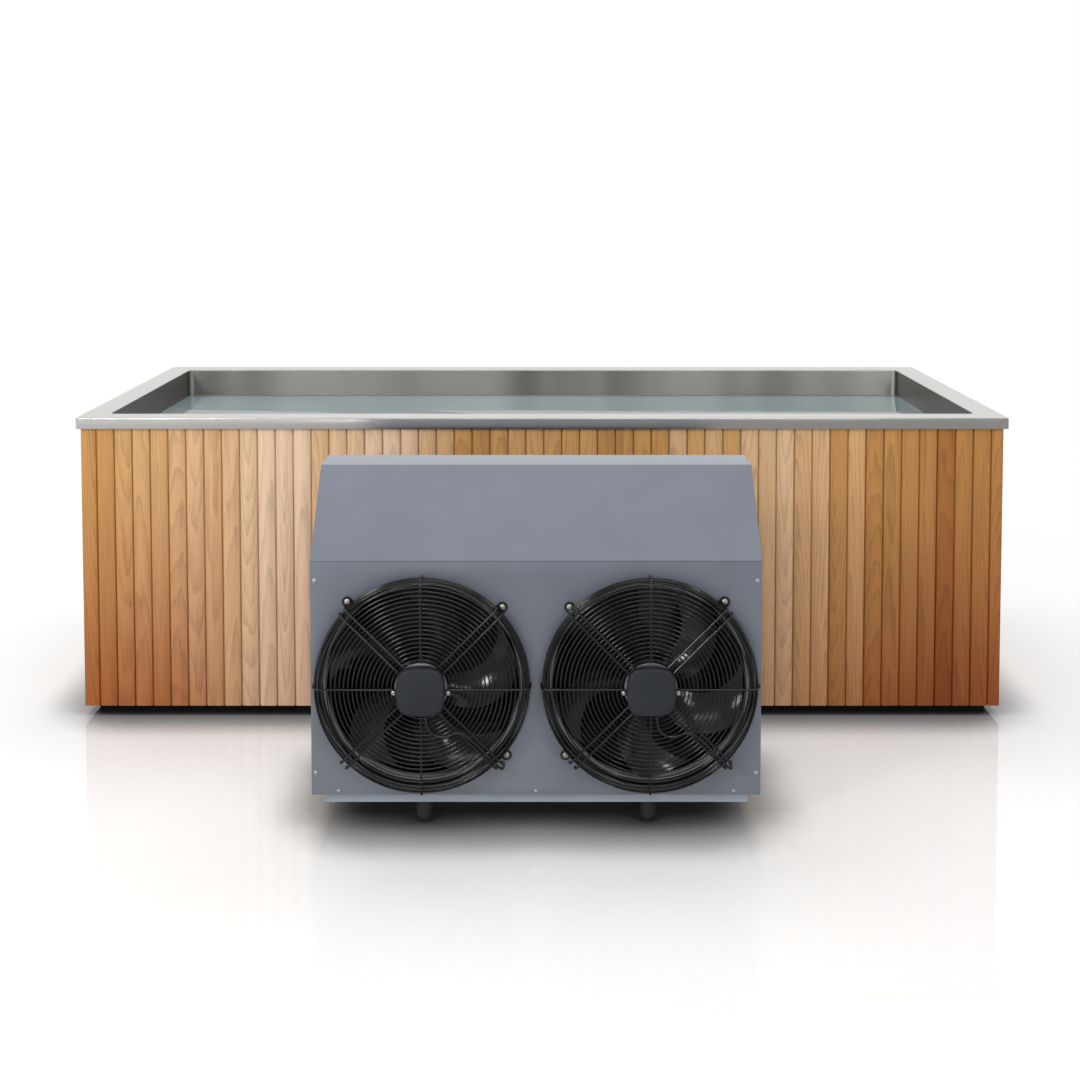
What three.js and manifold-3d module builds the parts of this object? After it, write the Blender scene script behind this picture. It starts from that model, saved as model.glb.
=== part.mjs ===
// Cold plunge set: an insulated stainless tub clad in vertical timber boards, and the air-cooled
// water chiller that stands in front of it. Millimetres, +Z up, the front faces -Y.
import * as THREE from "three";
import { mergeVertices } from "three/addons/utils/BufferGeometryUtils.js";
import Module from "manifold-3d";

const manifold = await Module();
manifold.setup();

// Fits shared by both halves of the set
const SEAT = 0.3; // gap where one piece rests on or against another
const SLIP = 0.4; // gap round a piece that passes through a hole or turns in one
const CUT_OVER = 1; // how far a cutting tool passes the faces it cuts through

// Tub: the basin, welded from five stainless sheets
const TUB_LENGTH = 2340; // over the rim
const TUB_WIDTH = 948; // over the rim
const TUB_HEIGHT = 763; // ground to the top of the rim
const RIM_FLANGE = 66; // outer edge of the rim to the inside of the basin wall
const RIM_LIP = 28; // how far the rim's edge turns down
const RIM_BEND = 2.5;
const BASIN_SHEET = 2;

// Tub: cladding, plinth and what carries them
const RIM_OVERHANG = 9; // rim's edge beyond the face of the boards
const BOARD_THICKNESS = 18;
const BOARD_PITCH = 45;
const FIRST_BOARD = 40; // cut board at the left end of each wall
const LEAST_BOARD = 14;
const GROOVE_WIDTH = 5;
const GROOVE_DEPTH = 6;
const BOARD_TUCK = 13; // how far the boards run up behind the lip
const PLINTH_HEIGHT = 26;
const PLINTH_RECESS = 30; // behind the face of the boards
const PLINTH_THICKNESS = 20;
const BASE_TUBE_WIDTH = 45;
const BASE_TUBE_HEIGHT = 45;
const WALL_TUBE = 15; // depth of the wall frame's tube
const WALL_RAIL = 50; // width of the wall frame's rails and posts
const FRAME_BAYS = 3;
const DECK_THICKNESS = 45.3; // insulated deck under the basin

// Tub: water fittings
const FITTING_BORE = 34;
const FITTING_WALL = 5;
const FITTING_FLANGE = 38; // radius of the flange inside the basin
const FLANGE_THICKNESS = 4;
const FITTING_STANDOUT = 46; // beyond the face of the boards
const UNION_RADIUS = 34;
const UNION_LENGTH = 30;
const GRILLE_THICKNESS = 5;
const NOZZLE_RIM = 5;
const NOZZLE_WALL = 5;
const NOZZLE_LENGTH = 18;
const SUCTION_X = 300;
const SUCTION_Z = 250;
const RETURN_X = 393;
const RETURN_Z = 520;
const DRAIN_FROM_END = 350; // left end of the rim to the drain
const DRAIN_CLEARANCE = 26; // from the floor up to the drain's flange
const VALVE_BALL = 24; // radius
const VALVE_PORT = 15; // radius
const VALVE_WALL = 7;
const VALVE_BALL_GAP = 1.2;
const VALVE_SOCKET = 18; // how far the fitting enters the valve
const STEM_RADIUS = 7;
const GLAND_WALL = 6;
const GLAND_HEIGHT = 16;
const LEVER_LENGTH = 125;
const LEVER_WIDTH = 20;
const LEVER_THICKNESS = 5;
const GRIP_SLEEVE = 2; // thickness of the sleeve on the lever
const STEM_NUT = 5; // height of the stem's end above the lever

// Chiller: place beside the tub
const CHILLER_GAP = 190; // rear of the chiller to the rim
const CHILLER_OFFSET = -12; // along X from the middle of the tub

// Chiller: fans, which set the size of the front panel
const GUARD_RADIUS = 222; // centre line of the outer ring
const GUARD_WIRE = 3;
const GUARD_RINGS = 16;
const GUARD_SIDE_RINGS = 1;
const GUARD_STANDOFF = 36; // front of the panel to the plane of the rings
const SPOKE_WIRE = 4.4;
const ARM_WIRE = 5;
const ARM_SPREAD = 16; // between the two wires of an arm
const LUG_REACH = 243; // centre of the fan to the end of a screw lug
const LUG_WIDTH = 14;
const LUG_THICKNESS = 2;
const FAN_GAP = 26; // between the two guards
const FAN_SIDE_MARGIN = 9; // guard to the side edge of the panel
const FAN_TOP_MARGIN = 35; // guard to the top edge of the panel
const FAN_BOTTOM_MARGIN = 14; // guard to the bottom edge of the panel
const MOTOR_RADIUS = 55; // stator flange
const MOTOR_THICKNESS = 7;
const MOTOR_CHAMFER = 3;
const MOTOR_RING_GAP = 5; // stator flange to the innermost ring
const PLATE_RADIUS = 48; // plate that the arms meet in
const SPINDLE_RADIUS = 11;
const ROTOR_RADIUS = 56;
const ROTOR_SIDES = 30;
const ROTOR_LENGTH = 72;
const ROTOR_GAP = 2; // rotor to the stator flange
const ROTOR_EDGE = 5;
const COVER_SIZE = 100;
const COVER_CORNER = 34;
const COVER_DEPTH = 20;
const COVER_EDGE = 4;
const LEAD_RADIUS = 2.8;
const SHROUD_SHEET = 2;
const SHROUD_FLANGE = 8; // overlap behind the panel
const HOLE_RADIUS = 219; // fan opening in the panel
const SHROUD_DEPTH = 72;
const THROAT_RADIUS = 202;
const BELL_RADIUS = 213;
const BELL_DEPTH = 16;
const TIP_CLEARANCE = 5;
const BLADES = 5;
const BLADE_THICKNESS = 3;
const BLADE_STATIONS = 4;
const BLADE_COLUMNS = 2;
const BLADE_SINK = 5; // how far a blade's root enters the rotor
const BLADE_CAMBER = 8;
const BLADE_ROOT_CHORD = 64;
const BLADE_TIP_CHORD = 118;
const BLADE_ROOT_PITCH = 46; // degrees out of the plane of rotation
const BLADE_TIP_PITCH = 20;
const BLADE_SWEEP = 34; // degrees that the tip runs ahead of the root

// Chiller: cabinet
const CABINET_SHEET = 2;
const CABINET_DEPTH = 435;
const PANEL_BOTTOM = 77; // ground to the lower edge of the panels
const SLOPE_RUN = 163;
const SLOPE_RISE = 167;
const PANEL_RETURN = 18; // folded edge of the front and rear panels along the sides
const FOOT_HEIGHT = 50;
const FOOT_RADIUS = 17;
const FOOT_TIP = 10;
const FOOT_TAPER = 14;
const FOOT_SPACING = 474;
const SKID_INSET = 23; // from each side of the cabinet
const SKID_SETBACK = 25; // from the front and rear faces
const SKID_DEPTH = 50;
const SKID_SHEET = 3;
const PAN_LIP = 9;
const SLOT_LENGTH = 130;
const SLOT_HEIGHT = 9;
const SLOT_PITCH = 27;
const SLOT_ROWS = 6;

// Chiller: rear opening, refrigeration and water parts
const SERVICE_BAY = 240; // width kept free beside the coil for the water parts
const COIL_MARGIN = 36; // edge of the rear panel to the opening
const COIL_LAP = 10; // coil behind the edge of the opening
const COIL_DEPTH = 44;
const FIN_PITCH = 40;
const FIN_SLOT = 24;
const FIN_SLOT_DEPTH = 8;
const GRID_LAP = 8; // guard outside the edge of the opening
const GRID_WIRE = 4;
const GRID_COLUMNS = 6;
const GRID_ROWS = 3;
const COMPRESSOR_RADIUS = 78;
const COMPRESSOR_HEIGHT = 270;
const COMPRESSOR_FOOT = 14;
const COMPRESSOR_LUG = 14; // how far its feet reach past the can
const COMPRESSOR_LUG_WIDTH = 32;
const COMPRESSOR_LUG_THICKNESS = 5;
const GROMMET_RADIUS = 12;
const DISCHARGE_RADIUS = 6;
const DISCHARGE_LENGTH = 30;
const EXCHANGER_RADIUS = 50;
const EXCHANGER_HEIGHT = 400;
const EXCHANGER_X = 96; // from the side edge of the panel
const OUTLET_Z = 430;
const INLET_Z = 150;
const PUMP_RADIUS = 38;
const PUMP_MOTOR_RADIUS = 32;
const PUMP_LENGTH = 150;
const PUMP_VOLUTE = 46;
const PUMP_SPACING = 93; // pump axis to the exchanger's axis
const PUMP_SETBACK = 60; // inside of the rear panel to the pump
const STAND_WIDTH = 48;
const STAND_MARGIN = 15; // from the ends of the pump's motor
const PORT_RADIUS = 16;
const PORT_BORE = 12;
const PORT_FLANGE = 30;
const PORT_FLANGE_THICKNESS = 6;
const PORT_SPIGOT = 20;
const PORT_STANDOUT = 38;
const PORT_INSIDE = 24; // how far a port reaches in past the rear panel
const BOX_DEPTH = 60;
const BOX_WIDTH = 180;
const BOX_HEIGHT = 220;
const BOX_Z = 300;
const GLAND_RADIUS = 13;
const GLAND_STEM = 10;
const GLAND_TIP = 8;
const GLAND_BORE = 4;
const GLAND_INSIDE = 12;
const GLAND_NUT = 14;
const GLAND_LENGTH = 24;
const GLAND_X = 40; // from the side edge of the panel
const GLAND_Z = 240;

// Sides of round pieces
const SMALL_SIDES = 8;
const PIPE_SIDES = 12;
const SIDES = 16;
const FINE_SIDES = 20;
const ARC_STEPS = 3;
const WIDE_RING = 150; // rings wider than this get more sides
const LEAD_STEPS = 13;
const LEAD_SIDES = 6;

// Materials, each made anew for the mesh that wears it
const finish = (color, roughness, metalness) => () =>
  new THREE.MeshStandardMaterial({ color, roughness, metalness });
const stainless = finish(0xc9c8c4, 0.3, 1);
const timber = finish(0xb5773f, 0.6, 0);
const blackPaint = finish(0x1b1a19, 0.7, 0);
const galvanised = finish(0x8d9296, 0.5, 0.9);
const plywood = finish(0xc2a878, 0.8, 0);
const darkPlastic = finish(0x2a2c2e, 0.5, 0);
const brass = finish(0xb08d3c, 0.35, 1);
const powderCoat = finish(0x6b717b, 0.5, 0.2);
const fanBlack = finish(0x0e0e10, 0.25, 0);
const wireBlack = finish(0x131416, 0.35, 0.2);
const capGrey = finish(0x55575a, 0.7, 0);
const castAluminium = finish(0xa9abad, 0.4, 1);
const rubber = finish(0x1d1d1d, 0.9, 0);
const finStock = finish(0x9aa0a4, 0.45, 1);
const leverRed = finish(0x9c2a22, 0.5, 0);

// Booleans
function solid(geometry) {
  const loose = geometry.index ? geometry.toNonIndexed() : geometry;
  const bare = new THREE.BufferGeometry();
  bare.setAttribute("position", loose.getAttribute("position"));
  const merged = mergeVertices(bare, 1e-3);
  const mesh = new manifold.Mesh({
    numProp: 3,
    vertProperties: merged.attributes.position.array,
    triVerts: new Uint32Array(merged.index.array),
  });
  return new manifold.Manifold(mesh);
}

function geometryOf(body) {
  const mesh = body.getMesh();
  const geometry = new THREE.BufferGeometry();
  const position = new Float32Array(mesh.numVert * 3);
  for (let i = 0; i < mesh.numVert; i++) {
    const start = i * mesh.numProp;
    position.set(mesh.vertProperties.subarray(start, start + 3), i * 3);
  }
  geometry.setAttribute("position", new THREE.BufferAttribute(position, 3));
  geometry.setIndex(new THREE.BufferAttribute(mesh.triVerts, 1));
  geometry.computeVertexNormals();
  return geometry;
}

const join = (geometries) => geometryOf(manifold.Manifold.union(geometries.map(solid)));
const cut = (geometry, tools) => geometryOf(solid(geometry).subtract(solid(join(tools))));

// Basic forms
function block(x0, x1, y0, y1, z0, z1) {
  const geometry = new THREE.BoxGeometry(x1 - x0, y1 - y0, z1 - z0);
  return geometry.translate((x0 + x1) / 2, (y0 + y1) / 2, (z0 + z1) / 2);
}

// A cylinder along Y between two places on that axis, or along X or Z after turning.
function rodY(radius, y0, y1, sides = SIDES) {
  return new THREE.CylinderGeometry(radius, radius, y1 - y0, sides).translate(0, (y0 + y1) / 2, 0);
}
const rodZ = (radius, z0, z1, sides) => rodY(radius, z0, z1, sides).rotateX(Math.PI / 2);
const rodX = (radius, x0, x1, sides) => rodY(radius, x0, x1, sides).rotateZ(-Math.PI / 2);

// A profile of [radius, height] turned about Y. Profiles run anticlockwise in that plane.
function turned(profile, sides = SIDES) {
  const points = profile.map(([radius, height]) => new THREE.Vector2(radius, height));
  const closed = profile[0][0] > 0;
  if (closed) points.push(points[0].clone());
  return new THREE.LatheGeometry(points, sides);
}

// Extrusions of a shape drawn in the plane across the named axis, from one place on it to another.
function extrudeZ(shape, z0, z1, curveSegments = 6) {
  const settings = { depth: z1 - z0, bevelEnabled: false, curveSegments };
  return new THREE.ExtrudeGeometry(shape, settings).translate(0, 0, z0);
}
function extrudeX(shape, x0, x1) {
  const standing = new THREE.Matrix4().makeBasis(
    new THREE.Vector3(0, 1, 0),
    new THREE.Vector3(0, 0, 1),
    new THREE.Vector3(1, 0, 0),
  );
  return extrudeZ(shape, x0, x1).applyMatrix4(standing);
}

const outline = (points) => new THREE.Shape(points.map(([u, v]) => new THREE.Vector2(u, v)));

function roundedSquare(size, radius) {
  const half = size / 2 - radius;
  const shape = new THREE.Shape();
  for (let quarter = 0; quarter < 4; quarter++) {
    const start = (quarter * Math.PI) / 2;
    const u = half * (quarter === 0 || quarter === 3 ? 1 : -1);
    const v = half * (quarter < 2 ? 1 : -1);
    shape.absarc(u, v, radius, start, start + Math.PI / 2, false);
  }
  return shape;
}

// Equal rectangular holes in columns and rows inside a rectangle, each as [u0, u1, v0, v1].
function holeGrid(u0, u1, v0, v1, columns, rows, border, bar) {
  const holes = [];
  const width = (u1 - u0 - 2 * border - (columns - 1) * bar) / columns;
  const height = (v1 - v0 - 2 * border - (rows - 1) * bar) / rows;
  for (let column = 0; column < columns; column++) {
    const u = u0 + border + column * (width + bar);
    for (let row = 0; row < rows; row++) {
      const v = v0 + border + row * (height + bar);
      holes.push([u, u + width, v, v + height]);
    }
  }
  return holes;
}

// A standing lattice of bars between y0 and y1, from x0 to x1 and from z0 to z1.
function lattice(x0, x1, y0, y1, z0, z1, columns, rows, border, bar) {
  const holes = holeGrid(x0, x1, z0, z1, columns, rows, border, bar);
  const tools = holes.map(([u0, u1, v0, v1]) => block(u0, u1, y0 - CUT_OVER, y1 + CUT_OVER, v0, v1));
  return cut(block(x0, x1, y0, y1, z0, z1), tools);
}

// The corners of a level rectangle, anticlockwise from above.
function levelLoop(length, width, z) {
  const [x, y] = [length / 2, width / 2];
  return [[x, y], [-x, y], [-x, -y], [x, -y]].map(([u, v]) => new THREE.Vector3(u, v, z));
}

// A closed skin over loops of equal count, with a flat cap on the first and on the last.
function skin(loops) {
  const count = loops[0].length;
  const position = loops.flat().flatMap((point) => [point.x, point.y, point.z]);
  const index = [];
  for (let k = 0; k + 1 < loops.length; k++) {
    for (let i = 0; i < count; i++) {
      const a = k * count + i;
      const b = k * count + ((i + 1) % count);
      index.push(a, b, b + count, a, b + count, a + count);
    }
  }
  const last = (loops.length - 1) * count;
  for (let i = 1; i + 1 < count; i++) {
    index.push(0, i + 1, i, last, last + i, last + i + 1);
  }
  const geometry = new THREE.BufferGeometry();
  geometry.setAttribute("position", new THREE.Float32BufferAttribute(position, 3));
  geometry.setIndex(index);
  geometry.computeVertexNormals();
  return geometry;
}

// A round tube along a smooth line through the points, closed at both ends.
function tube(points, radius, steps, sides) {
  const extrudePath = new THREE.CatmullRomCurve3(points.map((p) => new THREE.Vector3(...p)));
  const section = new THREE.Shape();
  for (let i = 0; i < sides; i++) {
    const angle = (i * 2 * Math.PI) / sides;
    section[i ? "lineTo" : "moveTo"](radius * Math.cos(angle), radius * Math.sin(angle));
  }
  return new THREE.ExtrudeGeometry(section, { steps, extrudePath, bevelEnabled: false });
}

function piece(name, geometry, material) {
  const mesh = new THREE.Mesh(geometry, material());
  mesh.name = name;
  return mesh;
}

// Tub: insets from the rim's outer edge, and levels above the ground
const frameInset = RIM_OVERHANG + BOARD_THICKNESS + SEAT;
const deckInset = frameInset + WALL_TUBE + SEAT;
const basinInset = RIM_FLANGE - BASIN_SHEET;
const boardTop = TUB_HEIGHT - RIM_LIP + BOARD_TUCK;
const rimUnderside = TUB_HEIGHT - BASIN_SHEET;
const baseTop = PLINTH_HEIGHT + BASE_TUBE_HEIGHT;
const deckTop = baseTop + SEAT + DECK_THICKNESS;
const basinUnder = deckTop + SEAT;
const basinFloor = basinUnder + BASIN_SHEET;

// The four walls: length over the rim, distance from the middle, and turn about Z
const FRONT = { name: "front", length: TUB_LENGTH, half: TUB_WIDTH / 2, turn: 0 };
const RIGHT = { name: "right", length: TUB_WIDTH, half: TUB_LENGTH / 2, turn: Math.PI / 2 };
const REAR = { name: "rear", length: TUB_LENGTH, half: TUB_WIDTH / 2, turn: Math.PI };
const LEFT = { name: "left", length: TUB_WIDTH, half: TUB_LENGTH / 2, turn: -Math.PI / 2 };
const WALLS = [FRONT, RIGHT, REAR, LEFT];

// Water fittings, each in the frame of its wall with the inside of the basin at y = 0
const fittingRadius = FITTING_BORE / 2 + FITTING_WALL;
const fittingReach = RIM_FLANGE - RIM_OVERHANG + FITTING_STANDOUT;
const flangeTop = SEAT + FLANGE_THICKNESS;
const SUCTION = { name: "suction", wall: FRONT, x: SUCTION_X, z: SUCTION_Z };
const RETURN = { name: "return", wall: FRONT, x: RETURN_X, z: RETURN_Z };
const drainZ = basinFloor + DRAIN_CLEARANCE + FITTING_FLANGE;
const DRAIN = { name: "drain", wall: REAR, x: TUB_LENGTH / 2 - DRAIN_FROM_END, z: drainZ };
const FITTINGS = [SUCTION, RETURN, DRAIN];

function fittingHole({ wall, x, z }) {
  const inside = -wall.half + RIM_FLANGE;
  const ends = [inside - fittingReach, inside + FITTING_FLANGE];
  const hole = rodY(fittingRadius + SLIP, ...ends, PIPE_SIDES);
  return hole.translate(x, 0, z).rotateZ(wall.turn);
}
const fittingHoles = () => FITTINGS.map(fittingHole);

// One side of the basin: the wall, the flange of the rim and its lip folded from one sheet.
// The section is drawn as [inset from the rim's edge, height], and the ends are mitred.
function basinSide(wall) {
  const lipEnd = TUB_HEIGHT - RIM_LIP;
  const sheet = outline([
    [RIM_FLANGE, basinUnder],
    [RIM_FLANGE, TUB_HEIGHT - RIM_BEND],
    [RIM_FLANGE - RIM_BEND, TUB_HEIGHT],
    [RIM_BEND, TUB_HEIGHT],
    [0, TUB_HEIGHT - RIM_BEND],
    [0, lipEnd],
    [BASIN_SHEET, lipEnd],
    [BASIN_SHEET, rimUnderside],
    [basinInset, rimUnderside],
    [basinInset, basinUnder],
  ]);
  const side = extrudeZ(sheet, -1, 1);
  const corners = side.attributes.position;
  for (let i = 0; i < corners.count; i++) {
    const [inset, z, end] = [corners.getX(i), corners.getY(i), corners.getZ(i)];
    corners.setXYZ(i, end * (wall.length / 2 - inset - SEAT / 2), inset - wall.half, z);
  }
  side.rotateZ(wall.turn);
  const holes = FITTINGS.filter((fitting) => fitting.wall === wall).map(fittingHole);
  return piece(`basin_${wall.name}`, holes.length ? cut(side, holes) : side, stainless);
}

function basinBottom() {
  const x = TUB_LENGTH / 2 - RIM_FLANGE - SEAT;
  const y = TUB_WIDTH / 2 - RIM_FLANGE - SEAT;
  return piece("basin_floor", block(-x, x, -y, y, basinUnder, basinFloor), stainless);
}

// Boards side by side with a V groove at each joint, drawn from above.
function boardRow(length) {
  const points = [[-length / 2, 0]];
  const lastJoint = length / 2 - LEAST_BOARD;
  for (let x = FIRST_BOARD - length / 2; x < lastJoint; x += BOARD_PITCH) {
    points.push([x - GROOVE_WIDTH / 2, 0], [x, GROOVE_DEPTH], [x + GROOVE_WIDTH / 2, 0]);
  }
  points.push([length / 2, 0], [length / 2, BOARD_THICKNESS], [-length / 2, BOARD_THICKNESS]);
  return outline(points);
}

function cladding(wall) {
  const isEnd = wall === LEFT || wall === RIGHT;
  const between = isEnd ? BOARD_THICKNESS + SEAT : 0;
  const length = wall.length - 2 * (RIM_OVERHANG + between);
  const boards = extrudeZ(boardRow(length), PLINTH_HEIGHT, boardTop);
  boards.translate(0, RIM_OVERHANG - wall.half, 0).rotateZ(wall.turn);
  const holes = FITTINGS.filter((fitting) => fitting.wall === wall).map(fittingHole);
  return piece(`${wall.name}_cladding`, holes.length ? cut(boards, holes) : boards, timber);
}

function plinth(wall) {
  const isEnd = wall === LEFT || wall === RIGHT;
  const inset = RIM_OVERHANG + PLINTH_RECESS;
  const half = wall.length / 2 - inset - (isEnd ? PLINTH_THICKNESS + SEAT : 0);
  const y = inset - wall.half;
  const board = block(-half, half, y, y + PLINTH_THICKNESS, 0, PLINTH_HEIGHT - SEAT);
  return piece(`${wall.name}_plinth`, board.rotateZ(wall.turn), blackPaint);
}

// One welded frame: a ladder on the plinth, with rails and posts up the four walls.
function tubFrame() {
  const x = TUB_LENGTH / 2 - frameInset;
  const y = TUB_WIDTH / 2 - frameInset;
  const top = rimUnderside - SEAT;
  const [insideX, insideY] = [x - WALL_TUBE, y - WALL_TUBE];
  const tools = [block(-insideX, insideX, -insideY, insideY, baseTop, TUB_HEIGHT)];
  const tubeWidth = BASE_TUBE_WIDTH;
  for (const [x0, x1, y0, y1] of holeGrid(-x, x, -y, y, FRAME_BAYS, 1, tubeWidth, tubeWidth)) {
    tools.push(block(x0, x1, y0, y1, 0, TUB_HEIGHT));
  }
  const bays = holeGrid(-x, x, baseTop, top, FRAME_BAYS, 1, WALL_RAIL, WALL_RAIL);
  for (const [x0, x1, z0, z1] of bays) {
    tools.push(block(x0, x1, -TUB_WIDTH, TUB_WIDTH, z0, z1));
  }
  for (const [y0, y1, z0, z1] of holeGrid(-y, y, baseTop, top, 1, 1, WALL_RAIL, WALL_RAIL)) {
    tools.push(block(-TUB_LENGTH, TUB_LENGTH, y0, y1, z0, z1));
  }
  const frame = cut(block(-x, x, -y, y, PLINTH_HEIGHT, top), [...tools, ...fittingHoles()]);
  return piece("tub_frame", frame, galvanised);
}

function floorDeck() {
  const x = TUB_LENGTH / 2 - deckInset;
  const y = TUB_WIDTH / 2 - deckInset;
  return piece("floor_deck", block(-x, x, -y, y, baseTop + SEAT, deckTop), plywood);
}

// Pieces of a fitting are drawn with the inside of the basin at y = 0 and the outside at -y.
function onWall({ wall, x, z }, meshes) {
  const place = new THREE.Group();
  const inner = new THREE.Group();
  inner.position.set(x, RIM_FLANGE - wall.half, z);
  place.rotation.z = wall.turn;
  inner.add(...meshes);
  place.add(inner);
  return place;
}

function wallTube(name) {
  const profile = [
    [FITTING_BORE / 2, -fittingReach],
    [fittingRadius, -fittingReach],
    [fittingRadius, SEAT],
    [FITTING_FLANGE, SEAT],
    [FITTING_FLANGE, flangeTop],
    [FITTING_BORE / 2, flangeTop],
  ];
  return piece(`${name}_fitting`, turned(profile, PIPE_SIDES), darkPlastic);
}

// Eight-sided nut that draws the fitting tight against the boards.
function wallUnion(name) {
  const face = RIM_OVERHANG - RIM_FLANGE - SEAT;
  const nut = rodY(UNION_RADIUS, face - UNION_LENGTH, face, SMALL_SIDES);
  const ends = [face - UNION_LENGTH - CUT_OVER, face + CUT_OVER];
  const bore = rodY(fittingRadius + SLIP, ...ends, PIPE_SIDES);
  return piece(`${name}_union`, cut(nut, [bore]), darkPlastic);
}

function suctionGrille() {
  const back = flangeTop + SEAT;
  const front = back + GRILLE_THICKNESS;
  const bar = FITTING_FLANGE / 6;
  const slots = [-2, -1, 0, 1, 2].map((row) => {
    const z = row * 2 * bar;
    const half = Math.sqrt(FITTING_FLANGE ** 2 - (Math.abs(z) + bar / 2) ** 2) - bar;
    return block(-half, half, back - CUT_OVER, front + CUT_OVER, z - bar / 2, z + bar / 2);
  });
  return piece("suction_grille", cut(rodY(FITTING_FLANGE, back, front), slots), darkPlastic);
}

function returnNozzle() {
  const y = flangeTop + SEAT;
  const throat = FITTING_BORE / 3;
  const profile = [
    [throat, y],
    [FITTING_FLANGE, y],
    [FITTING_FLANGE - NOZZLE_RIM / 2, y + NOZZLE_RIM],
    [throat + 2 * NOZZLE_WALL, y + 2 * NOZZLE_RIM],
    [throat + NOZZLE_WALL, y + NOZZLE_LENGTH],
    [throat, y + NOZZLE_LENGTH],
  ];
  return piece("return_nozzle", turned(profile, PIPE_SIDES), darkPlastic);
}

// Ball valve on the end of the drain fitting; its ball turns with the lever about a vertical stem.
const ballY = -fittingReach - SEAT - VALVE_WALL - VALVE_BALL;
const glandTop = VALVE_BALL + VALVE_WALL + GLAND_HEIGHT;

function valveBody() {
  const socket = fittingRadius + SLIP;
  const cavity = VALVE_BALL + VALVE_BALL_GAP;
  const outside = Math.max(cavity, socket) + VALVE_WALL;
  const inlet = -fittingReach + VALVE_SOCKET;
  const outlet = ballY - VALVE_BALL - VALVE_WALL - VALVE_SOCKET;
  const reach = Math.asin(VALVE_PORT / cavity);
  const profile = [
    [VALVE_PORT, outlet],
    [VALVE_PORT + VALVE_WALL, outlet],
    [VALVE_PORT + VALVE_WALL, ballY - VALVE_BALL],
    [outside, ballY - VALVE_BALL / 2],
    [outside, inlet],
    [socket, inlet],
    [socket, -fittingReach - SEAT],
    [VALVE_PORT, -fittingReach - SEAT],
  ];
  const steps = 2 * ARC_STEPS;
  for (let i = 0; i <= steps; i++) {
    const angle = reach + (i / steps) * (Math.PI - 2 * reach);
    profile.push([cavity * Math.sin(angle), ballY + cavity * Math.cos(angle)]);
  }
  const boss = rodZ(STEM_RADIUS + SLIP + GLAND_WALL, cavity, glandTop, PIPE_SIDES);
  const bore = rodZ(STEM_RADIUS + SLIP, 0, glandTop + CUT_OVER, PIPE_SIDES);
  const shell = join([turned(profile, PIPE_SIDES), boss.translate(0, ballY, 0)]);
  const body = cut(shell, [bore.translate(0, ballY, 0)]);
  return piece("drain_valve_body", body, brass);
}

function valveBall() {
  const ball = new THREE.SphereGeometry(VALVE_BALL, PIPE_SIDES, SMALL_SIDES);
  const port = rodX(VALVE_PORT, -2 * VALVE_BALL, 2 * VALVE_BALL, PIPE_SIDES);
  return piece("drain_valve_ball", cut(ball, [port]).translate(0, ballY, 0), stainless);
}

// Stem and handle; closed, the handle lies along the wall.
function valveLever() {
  const z = glandTop + SEAT;
  const half = LEVER_WIDTH / 2;
  const arm = new THREE.Shape();
  arm.absarc(0, 0, half, Math.PI / 2, (3 * Math.PI) / 2, false);
  arm.absarc(LEVER_LENGTH - half, 0, half, -Math.PI / 2, Math.PI / 2, false);
  const top = z + LEVER_THICKNESS;
  const side = half + GRIP_SLEEVE;
  const [x0, x1] = [LEVER_LENGTH / 2, LEVER_LENGTH - half];
  const handle = join([
    rodZ(STEM_RADIUS, VALVE_BALL + SEAT, top + STEM_NUT, PIPE_SIDES),
    extrudeZ(arm, z, top, ARC_STEPS),
    block(x0, x1, -side, side, z - GRIP_SLEEVE, top + GRIP_SLEEVE),
  ]);
  return piece("drain_valve_lever", handle.translate(0, ballY, 0), leverRed);
}

function tub() {
  const group = new THREE.Group();
  group.add(...WALLS.map(basinSide), basinBottom(), tubFrame(), floorDeck());
  group.add(...WALLS.map(cladding), ...WALLS.map(plinth));
  group.add(onWall(SUCTION, [wallTube("suction"), wallUnion("suction"), suctionGrille()]));
  group.add(onWall(RETURN, [wallTube("return"), wallUnion("return"), returnNozzle()]));
  group.add(onWall(DRAIN, [wallTube("drain"), valveBody(), valveBall(), valveLever()]));
  return group;
}

// Chiller: sizes that follow from the fans
const guardOuter = GUARD_RADIUS + GUARD_WIRE / 2;
const cabinetWidth = 4 * guardOuter + FAN_GAP + 2 * FAN_SIDE_MARGIN;
const fanSpacing = 2 * guardOuter + FAN_GAP;
const fanZ = PANEL_BOTTOM + FAN_BOTTOM_MARGIN + guardOuter;
const eaveZ = fanZ + guardOuter + FAN_TOP_MARGIN;
const halfDepth = CABINET_DEPTH / 2;
const cabinetHalf = cabinetWidth / 2;
const sideX = cabinetHalf - CABINET_SHEET - SEAT; // outside of a side panel
const panY = halfDepth - CABINET_SHEET - SEAT;
const panX = sideX - CABINET_SHEET - SEAT;
const panFloor = PANEL_BOTTOM + CABINET_SHEET;
const rearInside = halfDepth - CABINET_SHEET;

// Each fan's place, the angles of its screw lugs, and the angle at which its blades rest
const FANS = [
  { name: "left", x: -fanSpacing / 2, lugs: [42, 132, 319], rest: -12 },
  { name: "right", x: fanSpacing / 2, lugs: [48, 138, 221], rest: 31 },
];

// The hood's section in [y, z], moved in by a thickness measured square to the sheet.
function roof(inward) {
  const steep = (inward * Math.hypot(SLOPE_RUN, SLOPE_RISE)) / SLOPE_RUN;
  const low = eaveZ - steep;
  const top = eaveZ + SLOPE_RISE - inward;
  const ridge = halfDepth - (SLOPE_RUN * (top - low)) / SLOPE_RISE;
  return [[-halfDepth, low], [-ridge, top], [ridge, top], [halfDepth, low]];
}

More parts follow.
